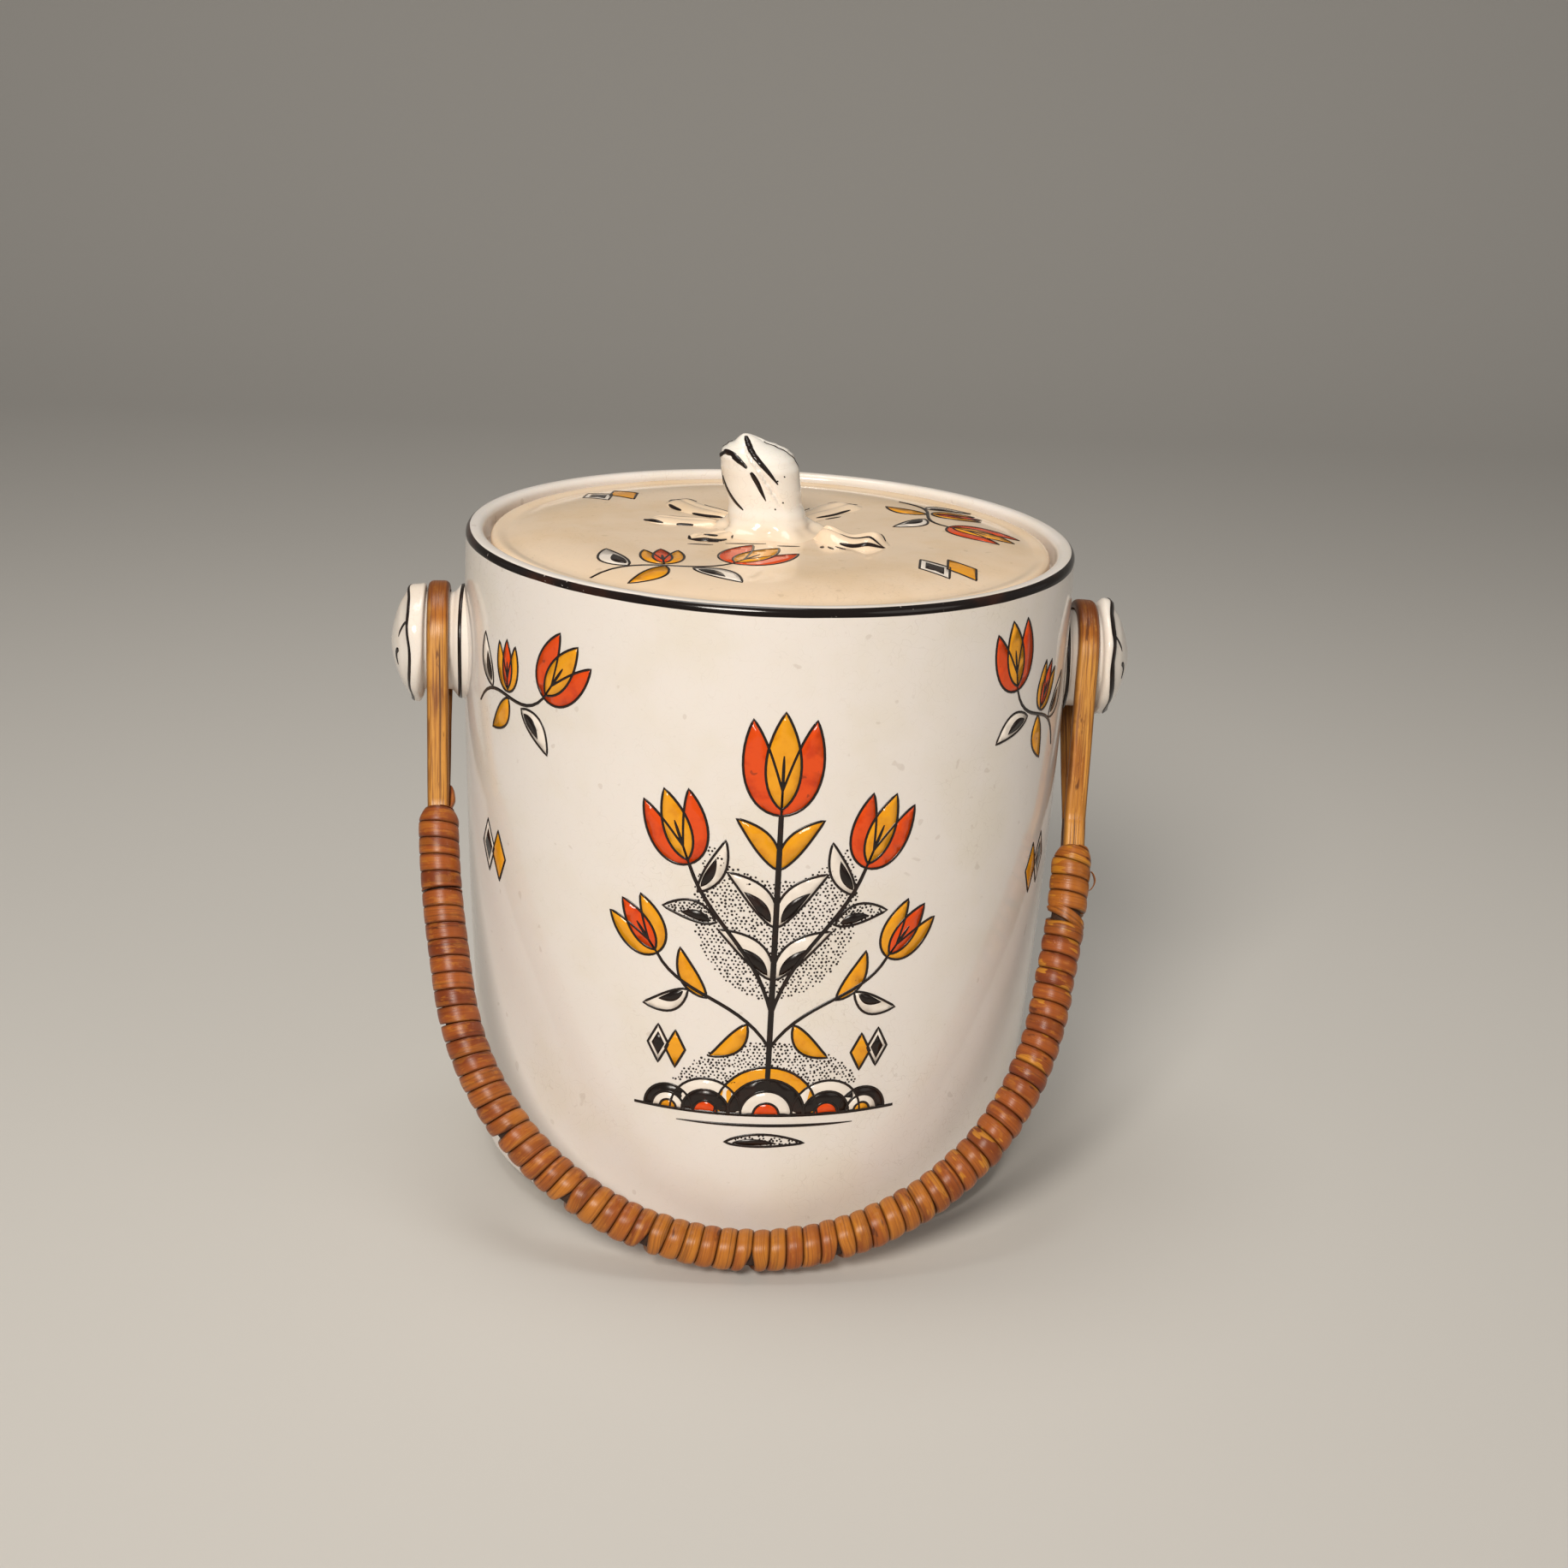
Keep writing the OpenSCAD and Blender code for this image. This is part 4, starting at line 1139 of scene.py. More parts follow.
def set_tulips(brush, table):
    """Put a table's tulips into the drawing, each turned about its own foot."""
    origin, turn = brush.origin, brush.turn
    for x, y, more, tall, wide, outer, inner in table:
        brush.origin, brush.turn = origin, turn
        place = brush.map([(x, y)])[0]
        brush.origin, brush.turn = place, turn + math.radians(more)
        tulip(brush, outer, inner, tall, wide)
    brush.origin, brush.turn = origin, turn


def bouquet(brush):
    """A tall stylised bunch of tulips rising from a row of fans."""
    haze = curve((0, 27), (-16, 30), (-22, 46), (-14, 62), 16)
    haze += curve((-14, 62), (-6, 52), (6, 52), (14, 62), 16)[1:]
    haze += curve((14, 62), (22, 46), (16, 30), (0, 27), 16)[1:-1]
    brush.dots(haze, 0.95, 5)
    brush.dots(curve((-21, 7), (-12, 21), (12, 21), (21, 7), 20), 0.9, 6)
    stem = brush.paint.stem * brush.scale
    brush.line([(0, 6), (0, 69)], stem, 0.15)
    for s in (-1, 1):
        brush.line(curve((0, 24), (s * 4, 40), (s * 14, 44), (s * 18.5, 57)), stem * 0.7, 0.2)
        brush.line(curve((0, 16), (s * 7, 28), (s * 20, 27), (s * 25, 36)), stem * 0.6, 0.2)
        for (x0, y0), (x1, y1), width, bend, kind in BUNCH_LEAVES:
            leaf_mark(brush, (s * x0, y0), (s * x1, y1), width, s * bend, kind)
    set_tulips(brush, BUNCH_TULIPS)
    for s in (-1, 1):
        fan(brush, s * 22, 0, 5.6, ("ink", "reserve", "amber"))
        fan(brush, s * 13.5, 0, 8.0, ("reserve", "ink", "flame"))
    fan(brush, 0, 0, 11.5, ("amber", "ink", "reserve", "flame"))
    brush.line([(-30, 0), (30, 0)], brush.paint.outline * 1.6, 0.3)
    brush.line([(-20, -2.6), (20, -2.6)], brush.paint.outline * 1.3, 0.8)
    leaf_mark(brush, (-9, -7), (9, -7), 3.0, 0.04, "dotted")


def spray(brush):
    """A small bending spray: one open tulip, a bud and three leaves."""
    brush.line(curve((-11, -7), (-6, 3), (3, -5), (8, 3)), brush.paint.outline * 1.4, 0.3)
    leaf_mark(brush, (-6.5, -2), (-11.5, 6), 3.8, 0.1)
    leaf_mark(brush, (-1, -1.5), (-5, -9), 3.6, 0.1, "amber")
    leaf_mark(brush, (3, -1.5), (11, -6.5), 3.8, 0.1)
    set_tulips(brush, SPRAY_TULIPS)


def lozenge(brush):
    """Two tall lozenges, one dark in a light frame and one amber beside it."""
    brush.shape("reserve", [(-2.6, -6), (0.6, 0), (-2.6, 6), (-5.8, 0)])
    brush.shape("ink", [(-2.6, -3.8), (-0.6, 0), (-2.6, 3.8), (-4.6, 0)], edge=False, layer=1)
    brush.shape("amber", [(2.6, -6.8), (5.6, -1), (2.6, 4.8), (-0.4, -1)], layer=2)


def paint_body(paint, jar):
    """Flowers on the side: front and back bunches, shoulder sprays, small lozenges."""
    brush = Brush(paint, body_surface(jar), "jar_paint", "jar", "glazed_body")
    half = math.pi * (jar.rim_radius - PAINT_INSET)
    bouquet(brush.move(0, 35))
    bouquet(brush.move(half, 44, 0, 0.8))
    for back in (0, half):
        for s in (-1, 1):
            spray(brush.move(back + s * 65, 120, s * 12, 1.25, s > 0))
            lozenge(brush.move(back + s * 74, 82, 0, 1.0, s > 0))
        for s in (-1, 1):
            x, y, small = (18, 56, 0.6) if back else (22.5, 50, 0.75)
            lozenge(brush.move(back + s * x, y, 0, small, s > 0))
    brush.make()


def paint_lid(paint, lid):
    """Two sprays and two lozenges on the lid."""
    brush = Brush(paint, lid_surface(lid), "lid_paint", "lid", "glazed_lid")
    spray(brush.move(-22.5, -35, -12, 1.45))
    spray(brush.move(39, 19, 260, 1.3))
    lozenge(brush.move(36, -30, 20, 1.15))
    lozenge(brush.move(-36, 33, 20, 1.15))
    brush.make()


def paint_bud(lid):
    """Loose brush lines along the folds of the bud and the edges of the leaves."""
    heap = Heap()
    at, flat = bud_surface(lid), lid_surface(lid)
    deg = math.radians
    for path, width, tail in BUD_STROKES:
        ribbon(heap, at, flowing([(deg(a), t) for a, t in path]), width, 0.12, 0.6, tail=tail)
    for a, t in BUD_SPECKS:
        ribbon(heap, at, [(deg(a + i * 0.8), t - i * 0.004) for i in range(4)], 0.38, 0.05, 0.8)
    for name, facts in LEAVES.items():
        leaf = leaf_surface(lid, *facts)
        for *line, width in LEAF_STROKES[name]:
            ribbon(heap, leaf, flowing(line), width * 1.25, 0.14, 0.75, tail=0.3)
    for x, y, turn, long, wide in LID_DABS:
        c, s = math.cos(deg(turn)) * long / 2, math.sin(deg(turn)) * long / 2
        ribbon(heap, flat, run((x - c, y - s), (x + c, y + s), 8), wide, 0.07, 0.85, tail=0.3)
    heap.make("lid_paint_brushwork", "ink", "lid", "glazed_lid")


def paint_lugs(lug, h):
    """A dark ring on each collar, a bold wavy line round each cap, and loose marks on the domes."""
    def wavy(place, size, waves, phase, n):
        angles = [2 * math.pi * i / n for i in range(n)]
        return [(a, place + size * math.sin(waves * a + phase)) for a in angles]
    for side, name, bold in ((-1, "left", 0.85), (1, "right", 1.45)):
        heap = Heap()
        at = lug_surface(lug, h, side)
        ribbon(heap, at, wavy(at.wall, 0.18, 3, side, 120), 0.85, 0.08, closed=True)
        ribbon(heap, at, wavy(at.seam, 0.4, 6, 0.5, 150), bold, 0.08, closed=True)
        for *marks, width in CAP_MARKS:
            line = flowing([(a, at.seam + s) for a, s in marks])
            ribbon(heap, at, line, width, 0.08, 0.7, tail=0.3)
        heap.make(f"{name}_lug_brushwork", "ink", "jar", "glazed_body")


# ---------------------------------------------------------------- cane handle
class Path:
    """Middle line of the handle, hanging from the lug axis, then swung to its rest.

    Lengths run from the left meeting point round the grip to the right one, and headings are
    angles from straight down.
    """

    def __init__(self, h, lug):
        self.h, self.lug = h, lug
        sin, cos, tan = math.sin, math.cos, math.tan
        drop = lug.axis_z - h.bind_in - h.bind_thick - h.swell - h.table_gap
        reach = math.hypot(h.front, drop)
        self.swing = Matrix.Rotation(-math.acos(drop / reach), 4, "X")
        l0, l1, r0, r1 = h.left_lean, h.left_leg, h.right_lean, h.right_leg
        self.start = Vector((-h.left_x + h.meet * sin(l0), h.meet * cos(l0)))
        end = Vector((h.right_x - h.meet * sin(r0), h.meet * cos(r0)))
        left = self.start + h.shoulder * Vector((cos(l0) - cos(l1), sin(l1) - sin(l0)))
        right = end + h.shoulder * Vector((cos(r1) - cos(r0), sin(r1) - sin(r0)))
        left_down, right_down = reach - left.y, reach - right.y
        arc_r = ((right.x - left.x - tan(l1) * left_down - tan(r1) * right_down)
                 / (cos(l1) + cos(r1) - tan(l1) * (1 - sin(l1)) - tan(r1) * (1 - sin(r1))))
        # length, heading at the start and bend radius of each stretch
        self.stretches = [(h.shoulder * (l1 - l0), l0, h.shoulder),
                          ((left_down - arc_r * (1 - sin(l1))) / cos(l1), l1, 0.0),
                          (arc_r * (math.pi - l1 - r1), l1, arc_r),
                          ((right_down - arc_r * (1 - sin(r1))) / cos(r1), math.pi - r1, 0.0),
                          (h.shoulder * (r1 - r0), math.pi - r1, h.shoulder)]
        self.length = sum(long for long, _, _ in self.stretches)
        self.bend = (sum(s[0] for s in self.stretches[:2]), sum(s[0] for s in self.stretches[:3]))

    def flat(self, l):
        """x, drop and heading at length l, in the handle's own plane."""
        x, s = self.start
        head = self.stretches[0][1]
        if l > 0:
            for long, head, bend in self.stretches:
                k = min(l, long)
                if bend:
                    turn = head + k / bend
                    x += bend * (math.cos(head) - math.cos(turn))
                    s += bend * (math.sin(turn) - math.sin(head))
                    head = turn
                else:
                    x, s = x + k * math.sin(head), s + k * math.cos(head)
                l -= k
                if l <= 0:
                    break
        return x + l * math.sin(head), s + l * math.cos(head), head

    def plane(self, l):
        """Centre, heading and outward normal at length l, before the swing."""
        x, s, head = self.flat(l)
        c, d = math.cos(head), math.sin(head)
        return Vector((x, 0, -s)), Vector((d, 0, -c)), Vector((-c, 0, -d))

    def frame(self, l):
        """Centre, heading, outward normal and backward normal in the jar's frame."""
        centre, ahead, out = self.plane(l)
        turn = self.swing.to_3x3()
        return self.hung(centre), turn @ ahead, turn @ out, turn @ Vector((0, 1, 0))

    def hung(self, p):
        """A point of the handle's own plane in the jar's frame."""
        return self.swing @ p + Vector((0, 0, self.lug.axis_z))


# section of the flat binding cane: share of the width, share of the thickness
FLAT = [(0.0, 0.0), (0.5, 0.0), (0.5, 0.74), (0.488, 0.87), (0.455, 0.95), (0.38, 0.985),
        (0.2, 1.0), (0.0, 1.005), (-0.2, 1.0), (-0.38, 0.985), (-0.455, 0.95), (-0.488, 0.87),
        (-0.5, 0.74), (-0.5, 0.0)]
# wedges that open on the outer side of the long binding: after which turn, and how wide in mm
WEDGES = ((7, 0.3), (14, 1.3), (19, 2.1), (24, 2.2), (30, 2.3), (35, 1.9), (41, 0.4), (48, 0.3))


def wound(heap, path, start, stop, turns, seed, snug=(0.0, 0.0), slip=0.0, steep=(), splits=()):
    """Flat cane wound left-handed from length start to stop, turns whole turns.

    snug: mm over which either end closes down on the strips; slip: how far the last end sits
    to the outer side; steep: turns that lie at a steeper slant, and by how much;
    splits: wedges on the outer side.
    """
    h = path.h
    pitch = (stop - start) / turns

    def middle(t):
        l = start + pitch * (t + 0.5)
        wander = 0.10 + 0.55 * smooth((l / path.length - 0.14) / 0.2)
        l += wander * noise.noise(Vector((t * 0.83, seed, 0)))
        lean = -0.40 + 0.5 * noise.noise(Vector((t * 0.31, seed, 5)))
        for at, more in steep:
            lean += more * math.exp(-((t - at) / 0.5) ** 2)
        return l + lean * pitch / (2 * math.pi) * math.sin(2 * math.pi * t)

    def seam(t, a):
        """Edge between turn t - 0.5 and turn t + 0.5, and half the gap there."""
        gap = h.seam
        if path.bend[0] < start + pitch * t < path.bend[1]:
            gap += 0.10 * max(0.0, math.cos(a))
        for at, wide in splits:
            gap += wide * smooth(1.5 - abs(t - at - 0.25) / 0.28) * max(0.0, math.cos(a)) ** 1.5
        return (middle(t - 0.5) + middle(t + 0.5)) / 2, gap / 2

    rows, uv, edge = [], [], []
    steps = (turns + 1) * TURN_STEPS
    for k in range(1, steps):
        t = -1 + (turns + 1) * k / steps
        a = -math.pi / 2 - 2 * math.pi * t
        (low, low_gap), (high, high_gap) = seam(t - 0.5, a), seam(t + 0.5, a)
        low = max(start, min(stop - 0.05, low + low_gap))
        high = min(stop, max(start + 0.05, high - high_gap))
        if high - low < 0.04:
            high = low + 0.04
        ends = [path.frame(low), path.frame(high)]
        share = (low + high) / 2 / path.length
        loose = smooth((share - 0.14) / 0.2) * smooth((0.99 - share) / 0.12)
        swell = h.swell * math.sin(math.pi * share) ** 2
        bulge = (0.04 + 0.26 * loose) * noise.noise(Vector((t * 1.3, seed + 9, 3)))
        shingle = 0.05 + (0.06 + 0.35 * loose) * noise.noise(Vector((t * 1.1, seed + 2, 1)))
        row = []
        for across, rise in FLAT:
            f = across + 0.5
            centre, _, out, side = (p.lerp(q, f) for p, q in zip(*ends))
            l = low + (high - low) * f
            crown = (0.05 + 0.33 * loose) * abs(2 * across) ** 2.2
            r = h.bind_in + (h.bind_thick + swell + bulge + shingle * across - crown) * rise
            for near, long in ((l - start, snug[0]), (stop - l, snug[1])):
                if long and near < long:
                    hug = 1 / math.hypot(math.cos(a) / SNUG_RADII[0], math.sin(a) / SNUG_RADII[1])
                    r += (hug - LOOSE_RADIUS) * (1 - near / long) ** 1.6
            shift = slip * smooth((snug[1] - (stop - l)) / snug[1]) if slip else 0.0
            row.append(centre + out * shift + (out * math.cos(a) + side * math.sin(a)) * r)
        rows.append(row)
        along = t * 2 * math.pi * TURN_RADIUS * MM + seed
        uv.append([(along, (across + 0.5) * (high - low) * MM + seed * 0.37) for across, _ in FLAT])
        edge.append([(min(1.0, abs(across) * 2), share) for across, _ in FLAT])
    heap.grid(rows, close_v=True, uv=uv, edge=edge, cap=True)


def crossing(heap, path, start, stop, a0, a1, width, seed):
    """A short strip that runs slantwise from one stretch of binding to the next."""
    h = path.h
    rows, uv, edge = [], [], []
    for k in range(41):
        f = k / 40
        a = a0 + (a1 - a0) * f
        centre, ahead, out, side = path.frame(start + (stop - start) * smooth(f))
        away = out * math.cos(a) + side * math.sin(a)
        round_ = (side * math.cos(a) - out * math.sin(a)) * (-1 if a1 < a0 else 1)
        slope = (stop - start) / (abs(a1 - a0) * TURN_RADIUS)
        over = (ahead - round_ * slope).normalized() * width
        dive = 0.55 * (smooth(1 - f / 0.16) + smooth((f - 0.84) / 0.16))
        low, thick = h.bind_in - dive, h.bind_thick - 0.12
        rows.append([centre + over * across + away * (low + thick * rise) for across, rise in FLAT])
        uv.append([(f * 0.016 + seed, (across + 0.5) * width * MM + seed) for across, _ in FLAT])
        edge.append([(min(1.0, abs(across) * 2), 0.92) for across, _ in FLAT])
    heap.grid(rows, close_v=True, uv=uv, edge=edge, cap=True)


def build_binding(path):
    """The long binding, the two whippings and the slanting strips between them on the right."""
    h = path.h
    left = (h.bare_left, h.bare_left + h.left_turns * h.turn)
    right = (path.length - h.bare_right - h.right_turns * h.turn, path.length - h.bare_right)
    start, stop = left[1] + h.left_gap, right[0] - h.right_gap
    turns = round((stop - start) / h.turn)
    for name, (a, b), n, seed, node, extra in (
            ("left_whipping_cane", left, h.left_turns, 3.0, "left_whipping", {"snug": (3.4, 0)}),
            ("binding_cane", (start, stop), turns, 7.0, "cane_wrap", {"splits": WEDGES}),
            ("right_whipping_cane", right, h.right_turns, 5.0, "right_whipping",
             {"snug": (0, 3.6), "slip": 0.35, "steep": ((3.2, 1.8),)})):
        heap = Heap()
        wound(heap, path, a, b, n, seed, **extra)
        if node == "cane_wrap":
            crossing(heap, path, stop - 1.0, right[0] + 0.9, 0.45, -3.5, 2.7, 2.0)
            crossing(heap, path, stop - 0.9, right[0] + 1.0, 3.5, -0.1, 2.6, 4.0)
        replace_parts(heap.make(name, "binding", "handle", "binding_cane", sharp=50), node)


def strip_section(h):
    """Half section of the split cane: across and outward, flat side on zero."""
    wide, tall, r = h.strip_width / 2, h.strip_thick, h.strip_round
    corner = [(wide - r + r * math.cos(math.radians(a)), tall - r + r * math.sin(math.radians(a)))
              for a in range(0, 91, 15)]
    half = [(wide, 0.02), (wide, (tall - r) / 2)] + corner + [((wide - r) * 0.5, tall + 0.015)]
    return half + [(0.0, tall + 0.02)] + [(-u, v) for u, v in reversed(half)]


def build_loops(path):
    """Split cane bent over each neck; two legs run down into the whipping."""
    h = path.h
    r = path.lug.neck_radius + h.loop_clear
    half = h.tongue / 2
    lean = math.pi / 2 - math.acos(r / math.hypot(half, h.meet)) - math.atan2(half, h.meet)
    cos, sin = math.cos(lean), math.sin(lean)
    # one leg, over the neck and down the other: place and outward direction across the handle
    leg = [(y, z, -cos, -sin) for y, z in run((-half, -h.meet), (-r * cos, -r * sin), 24)[:-1]]
    bend = [(r * math.cos(a), r * math.sin(a), math.cos(a), math.sin(a))
            for a, _ in run((math.pi + lean, 0), (-lean, 0), 48)]
    loop = leg + bend + [(-y, z, -oy, oz) for y, z, oy, oz in reversed(leg)]
    section = strip_section(h)
    for side, name, loop_x, tip, bare in ((-1, "left", h.left_x, h.left_lean, h.bare_left),
                                          (1, "right", h.right_x, h.right_lean, h.bare_right)):
        turn = Matrix.Rotation(side * tip, 3, "Y")
        lapped = int(bare + 7)                      # mm of leg laid on the tongue
        places = []                                 # point, widthwise and outward direction
        for k in range(lapped, 0, -1):
            centre, _, out = path.plane(k if side < 0 else path.length - k)
            places.append((centre + Vector((0, -half, 0)), out * side, Vector((0, -1, 0))))
        for y, z, oy, oz in loop:
            places.append((turn @ Vector((0, y, z)) + Vector((side * loop_x, 0, 0)),
                           turn @ Vector((1, 0, 0)), turn @ Vector((0, oy, oz))))
        places += [(Vector((p.x, -p.y, p.z)), wide, Vector((0, 1, 0)))
                   for p, wide, _ in reversed(places[:lapped])]
        rows, uv, edge, gone = [], [], [], 0.0
        for i, (here, wide, out) in enumerate(places):
            wave = 0.09 * noise.noise(Vector((i * 0.09, side * 3.0, 0)))
            grow = 1 + 0.02 * noise.noise(Vector((i * 0.13, side, 4)))
            if i:
                gone += (here - places[i - 1][0]).length
            rows.append([path.hung(here + wide * (u * grow + wave) + out * v) for u, v in section])
            uv.append([((gone + side * 60) * MM, (u + 4 + (h.strip_thick - v)) * MM)
                       for u, v in section])
            # rises over the top of the loop, where the strip finish paints shade on the neck
            # between collar and cap
            neck_shade = 0.60 + 0.42 * smooth((here.z + 3.0) / 11.0)
            edge.append([(min(1.0, abs(u) * 2 / h.strip_width), neck_shade) for u, v in section])
        heap = Heap()
        heap.grid(rows, close_v=True, uv=uv, edge=edge, cap=True)
        strip = heap.make(f"{name}_loop_strip", "strip", "handle", "split_cane", sharp=50)
        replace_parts(strip, f"{name}_loop")


def build_tucks(path):
    """Cut ends of the binding: a rolled stub on the left strips, a thin curl on the right."""
    h = path.h

    def tuck(side, rows, key, first, step, dark):
        """Close a row of sections; first and step place its grain, dark is its level in the edge
        channel, where the cane finish paints shade.
        """
        n = len(rows[0])
        heap = Heap()
        heap.grid(rows, close_v=True, cap=True, edge=[[(dark, 0)] * n] * len(rows),
                  uv=[[(first + k * step, i * 0.0003) for i in range(n)] for k in range(len(rows))])
        end = heap.make(f"{side}_tuck_end", key, "handle", "binding_cane", sharp=60)
        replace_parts(end, f"{side}_tuck")

    turn = Matrix.Rotation(-h.left_lean, 3, "Y")
    stub_long, stub_fat, stub_deep = 5.6, 1.30, 1.5
    stub = []
    for f, _ in run((0, 0), (1, 0), 16):
        fat = stub_fat * (1 - f ** 3) ** 0.5 * smooth(0.35 + f * 1.6) + 0.02
        deep = stub_deep * (1 - 0.35 * f ** 2)
        row = []
        for i in range(20):
            a = 2 * math.pi * i / 20
            x = h.strip_width / 2 + 0.02 + fat / 2 * (1 + math.cos(a))
            p = turn @ Vector((x, deep * math.sin(a), -h.meet - 1.2 + stub_long * f))
            row.append(path.hung(p + Vector((-h.left_x, 0, 0))))
        stub.append(row)
    tuck("left", stub, "binding", 1, 0.0003, 0.3)

    curl_long, curl_low, curl_bow = 4.2, 4.42, 0.95
    section = ((-0.8, 0), (-0.7, 0.2), (0, 0.26), (0.7, 0.2), (0.8, 0), (0, -0.05))
    last = path.length - h.bare_right - 2 * h.turn + 2.1
    curl = []
    for f, _ in run((0, 0), (1, 0), 20):
        centre, _, out, side = path.frame(last - curl_long * f)
        high, thin = curl_low + curl_bow * math.sin(math.pi * f) ** 0.8, 1 - 0.45 * abs(2 * f - 1)
        curl.append([centre + out * (high + v) + side * (u * thin - 0.9) for u, v in section])
    tuck("right", curl, "strip", 2, 0.0002, 0.0)


# ---------------------------------------------------------------- stage
# area lights: name, place and aim in metres, size, watts, spread in degrees, tint
LIGHTS = (
    ("key", (-0.40, -1.20, 0.95), (0, 0.1, 0.06), 0.50, 3.95, 85, "#FFF8EE"),
    ("fill", (0.95, -0.75, 0.65), (0, 0, 0.08), 0.8, 0.45, 100, "#FFF6EC"),
    ("top", (-0.15, 0.10, 1.25), (0, 0, 0.1), 0.6, 0.85, 80, "#FFFCF6"),
)


def build_floor(tint):
    """Pale seamless paper, level under the jar and curved up behind it; metres."""
    level, back, bend = -0.0002, 0.9, 0.5
    profile = [(-1.6, level), (-0.6, level), (0.6, level)]
    for i in range(11):
        a = math.radians(9 * i)
        profile.append((back + bend * math.sin(a), bend - bend * math.cos(a)))
    profile.append((back + bend, 2.4))
    across = (-2.4, -0.8, 0.8, 2.4)
    n = len(across)
    mesh = bpy.data.meshes.new("sweep")
    mesh.from_pydata([(x, y, z) for y, z in profile for x in across], [],
                     [(i * n + j, i * n + j + 1, (i + 1) * n + j + 1, (i + 1) * n + j)
                      for i in range(len(profile) - 1) for j in range(n - 1)])
    mesh.shade_smooth()
    mesh.materials.append(paper("pale seamless paper", tint))
    put("sweep", mesh)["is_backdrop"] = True


def build_lights():
    """A faint warm room and three soft discs of light."""
    scene = bpy.context.scene
    scene.view_settings.view_transform = "Standard"
    scene.world = scene.world or bpy.data.worlds.new("studio")
    scene.world.use_nodes = True
    room = scene.world.node_tree.nodes["Background"]
    room.inputs[0].default_value = (1.0, 0.98, 0.95, 1.0)
    room.inputs[1].default_value = 0.20
    for name, place, aim, size, watts, spread, tint in LIGHTS:
        light = bpy.data.lights.new(name, "AREA")
        light.shape, light.size, light.energy = "DISK", size, watts
        light.spread, light.color = math.radians(spread), linear(tint)[:3]
        lamp = put(name, light)
        lamp.location = place
        lamp.rotation_euler = (Vector(aim) - Vector(place)).to_track_quat("-Z", "Y").to_euler()


def build_camera(stage):
    """The camera, a little left of the front and looking down."""
    cp, sp = math.cos(stage.pitch), math.sin(stage.pitch)
    cy, sy = math.cos(stage.yaw), math.sin(stage.yaw)
    cr, sr = math.cos(stage.roll), math.sin(stage.roll)
    forward = Vector((sy * cp, cy * cp, -sp))
    right = Vector((cy, -sy, 0))
    up = right.cross(forward)
    right, up = right * cr + up * sr, up * cr - right * sr
    turn = Matrix.Rotation(-stage.turn, 3, "Z")
    axes = Matrix([turn @ right, turn @ up, turn @ -forward]).transposed().to_4x4()
    place = turn @ Vector((0, -stage.distance, stage.camera_z)) * MM
    data = bpy.data.cameras.new("view")
    data.lens, data.sensor_width = stage.lens, 36.0
    camera = put("view", data)
    camera.matrix_world = Matrix.Translation(place) @ axes
    bpy.context.scene.camera = camera


# ---------------------------------------------------------------- operators
class JAR_OT_finishes(Operator):
    """Make the glazes, enamels and cane finishes"""
    bl_idname = "jar.finishes"
    bl_label = "Make finishes"

    def execute(self, context):
        make_palette(*read(context, "finish_colours", "jar_sizes", "lid_sizes"))
        mesh = bpy.data.objects["handle_core"].data
        mesh.materials.clear()
        mesh.materials.append(PALETTE["core"])
        return {"FINISHED"}


class JAR_OT_body(Operator):
    """Build the jar's body"""
    bl_idname = "jar.body"
    bl_label = "Build body"

    def execute(self, context):
        build_body(*read(context, "jar_sizes"))
        return {"FINISHED"}


class JAR_OT_lid(Operator):
    """Build the lid"""
    bl_idname = "jar.lid"
    bl_label = "Build lid"

    def execute(self, context):
        build_lid(*read(context, "jar_sizes", "lid_sizes"))
        return {"FINISHED"}


class JAR_OT_bud(Operator):
    """Model the bud on the lid"""
    bl_idname = "jar.bud"
    bl_label = "Model bud"

    def execute(self, context):
        build_bud(*read(context, "lid_sizes"))
        return {"FINISHED"}


class JAR_OT_leaves(Operator):
    """Press the leaves round the bud"""
    bl_idname = "jar.leaves"
    bl_label = "Press leaves"

    def execute(self, context):
        build_leaves(*read(context, "lid_sizes"))
        return {"FINISHED"}


class JAR_OT_lugs(Operator):
    """Cast the two lugs"""
    bl_idname = "jar.lugs"
    bl_label = "Cast lugs"

    def execute(self, context):
        build_lugs(*read(context, "lug_sizes", "handle_sizes"))
        return {"FINISHED"}


class JAR_OT_flowers(Operator):
    """Paint the flowers on the side and the lid"""
    bl_idname = "jar.flowers"
    bl_label = "Paint flowers"

    def execute(self, context):
        paint_body(*read(context, "paint_sizes", "jar_sizes"))
        paint_lid(*read(context, "paint_sizes", "lid_sizes"))
        return {"FINISHED"}


class JAR_OT_brushwork(Operator):
    """Brush the lines on the bud, leaves and lugs"""
    bl_idname = "jar.brushwork"
    bl_label = "Brush lines"

    def execute(self, context):
        paint_bud(*read(context, "lid_sizes"))
        paint_lugs(*read(context, "lug_sizes", "handle_sizes"))
        return {"FINISHED"}


class JAR_OT_loops(Operator):
    """Bend the two loops of split cane"""
    bl_idname = "jar.loops"
    bl_label = "Bend loops"

    def execute(self, context):
        build_loops(Path(*read(context, "handle_sizes", "lug_sizes")))
        return {"FINISHED"}


class JAR_OT_binding(Operator):
    """Wind the long binding and the whippings"""
    bl_idname = "jar.binding"
    bl_label = "Wind binding"

    def execute(self, context):
        build_binding(Path(*read(context, "handle_sizes", "lug_sizes")))
        return {"FINISHED"}


class JAR_OT_tucks(Operator):
    """Add the cut ends of the binding"""
    bl_idname = "jar.tucks"
    bl_label = "Tuck ends"

    def execute(self, context):
        build_tucks(Path(*read(context, "handle_sizes", "lug_sizes")))
        return {"FINISHED"}


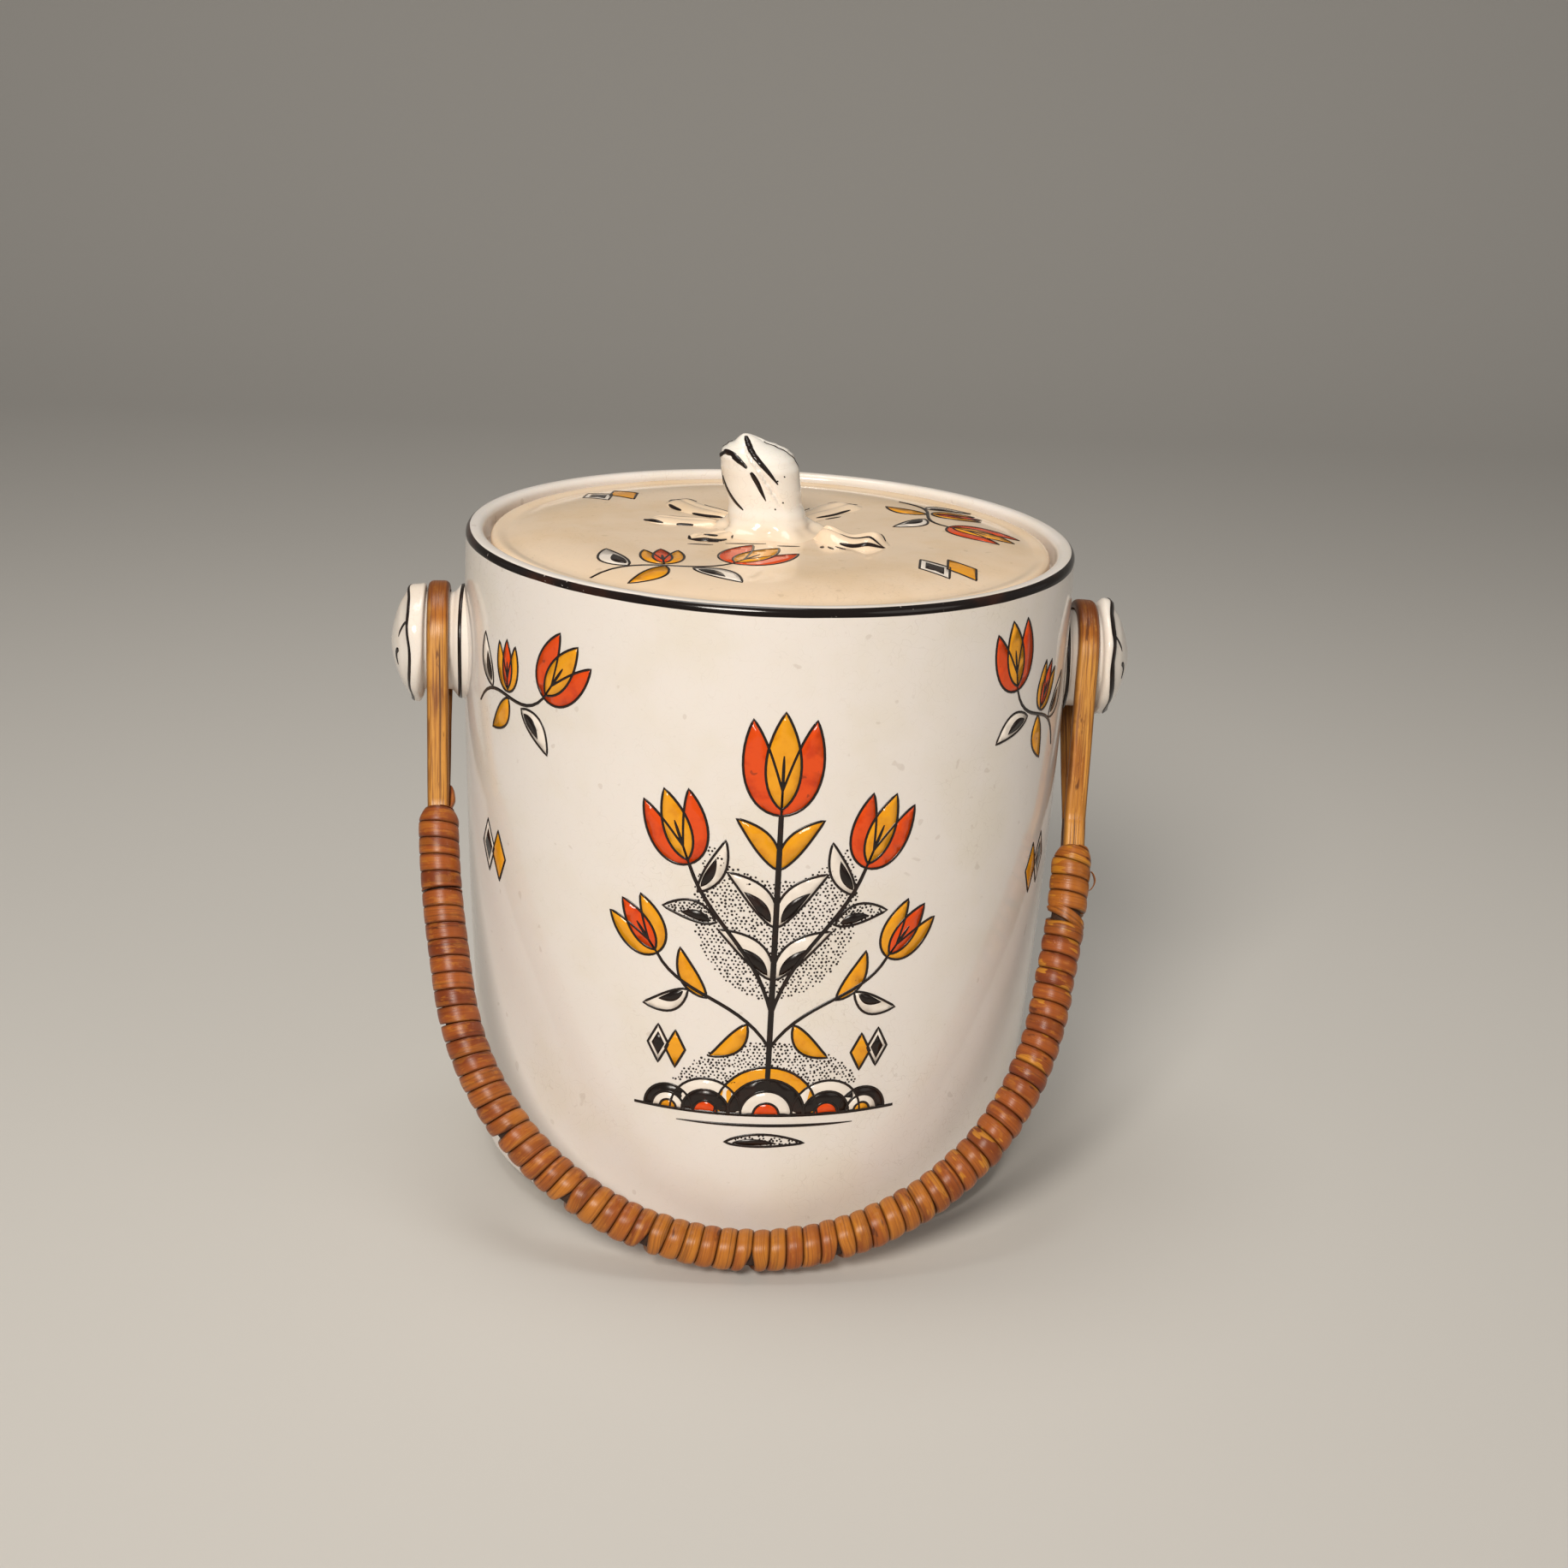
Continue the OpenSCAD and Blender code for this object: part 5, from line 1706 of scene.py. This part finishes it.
class JAR_OT_stage(Operator):
    """Set up the floor, lights and camera"""
    bl_idname = "jar.stage"
    bl_label = "Set up stage"

    def execute(self, context):
        stage, tints = read(context, "stage_sizes", "finish_colours")
        build_floor(tints.paper)
        build_lights()
        build_camera(stage)
        return {"FINISHED"}


class JAR_PT_panel(Panel):
    """Sizes of the jar and its build steps"""
    bl_label = "Jar"
    bl_idname = "JAR_PT_panel"
    bl_space_type = "VIEW_3D"
    bl_region_type = "UI"
    bl_category = "Jar"

    def draw(self, context):
        layout = self.layout
        for step in STEPS:
            layout.operator(step.bl_idname)
        for name in GROUPS:
            box = layout.box()
            box.label(text=name.replace("_", " ").capitalize())
            group = getattr(context.scene, name)
            for prop in group.bl_rna.properties:
                if prop.identifier not in {"rna_type", "name"}:
                    box.prop(group, prop.identifier)


STEPS = (JAR_OT_finishes, JAR_OT_body, JAR_OT_lid, JAR_OT_bud, JAR_OT_leaves, JAR_OT_lugs,
         JAR_OT_flowers, JAR_OT_brushwork, JAR_OT_loops, JAR_OT_binding, JAR_OT_tucks,
         JAR_OT_stage)
GROUPS = {"jar_sizes": JarSizes, "lid_sizes": LidSizes, "lug_sizes": LugSizes,
          "handle_sizes": HandleSizes, "paint_sizes": PaintSizes, "finish_colours": FinishColours,
          "stage_sizes": StageSizes}
CLASSES = (*GROUPS.values(), *STEPS, JAR_PT_panel)


def register():
    for cls in CLASSES:
        bpy.utils.register_class(cls)
    for name, cls in GROUPS.items():
        setattr(bpy.types.Scene, name, PointerProperty(type=cls))


def unregister():
    for name in GROUPS:
        delattr(bpy.types.Scene, name)
    for cls in reversed(CLASSES):
        bpy.utils.unregister_class(cls)


def main():
    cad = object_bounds()
    register()
    bpy.ops.jar.finishes()
    bpy.ops.jar.body()
    bpy.ops.jar.lid()
    bpy.ops.jar.bud()
    bpy.ops.jar.leaves()
    bpy.ops.jar.lugs()
    bpy.ops.jar.flowers()
    bpy.ops.jar.brushwork()
    bpy.ops.jar.loops()
    bpy.ops.jar.binding()
    bpy.ops.jar.tucks()
    bpy.ops.jar.stage()
    plain = lambda box: [[float(v) for v in corner] for corner in box]
    {"cad": plain(cad), "visual": plain(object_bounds())}


if __name__ == "__main__":
    main()
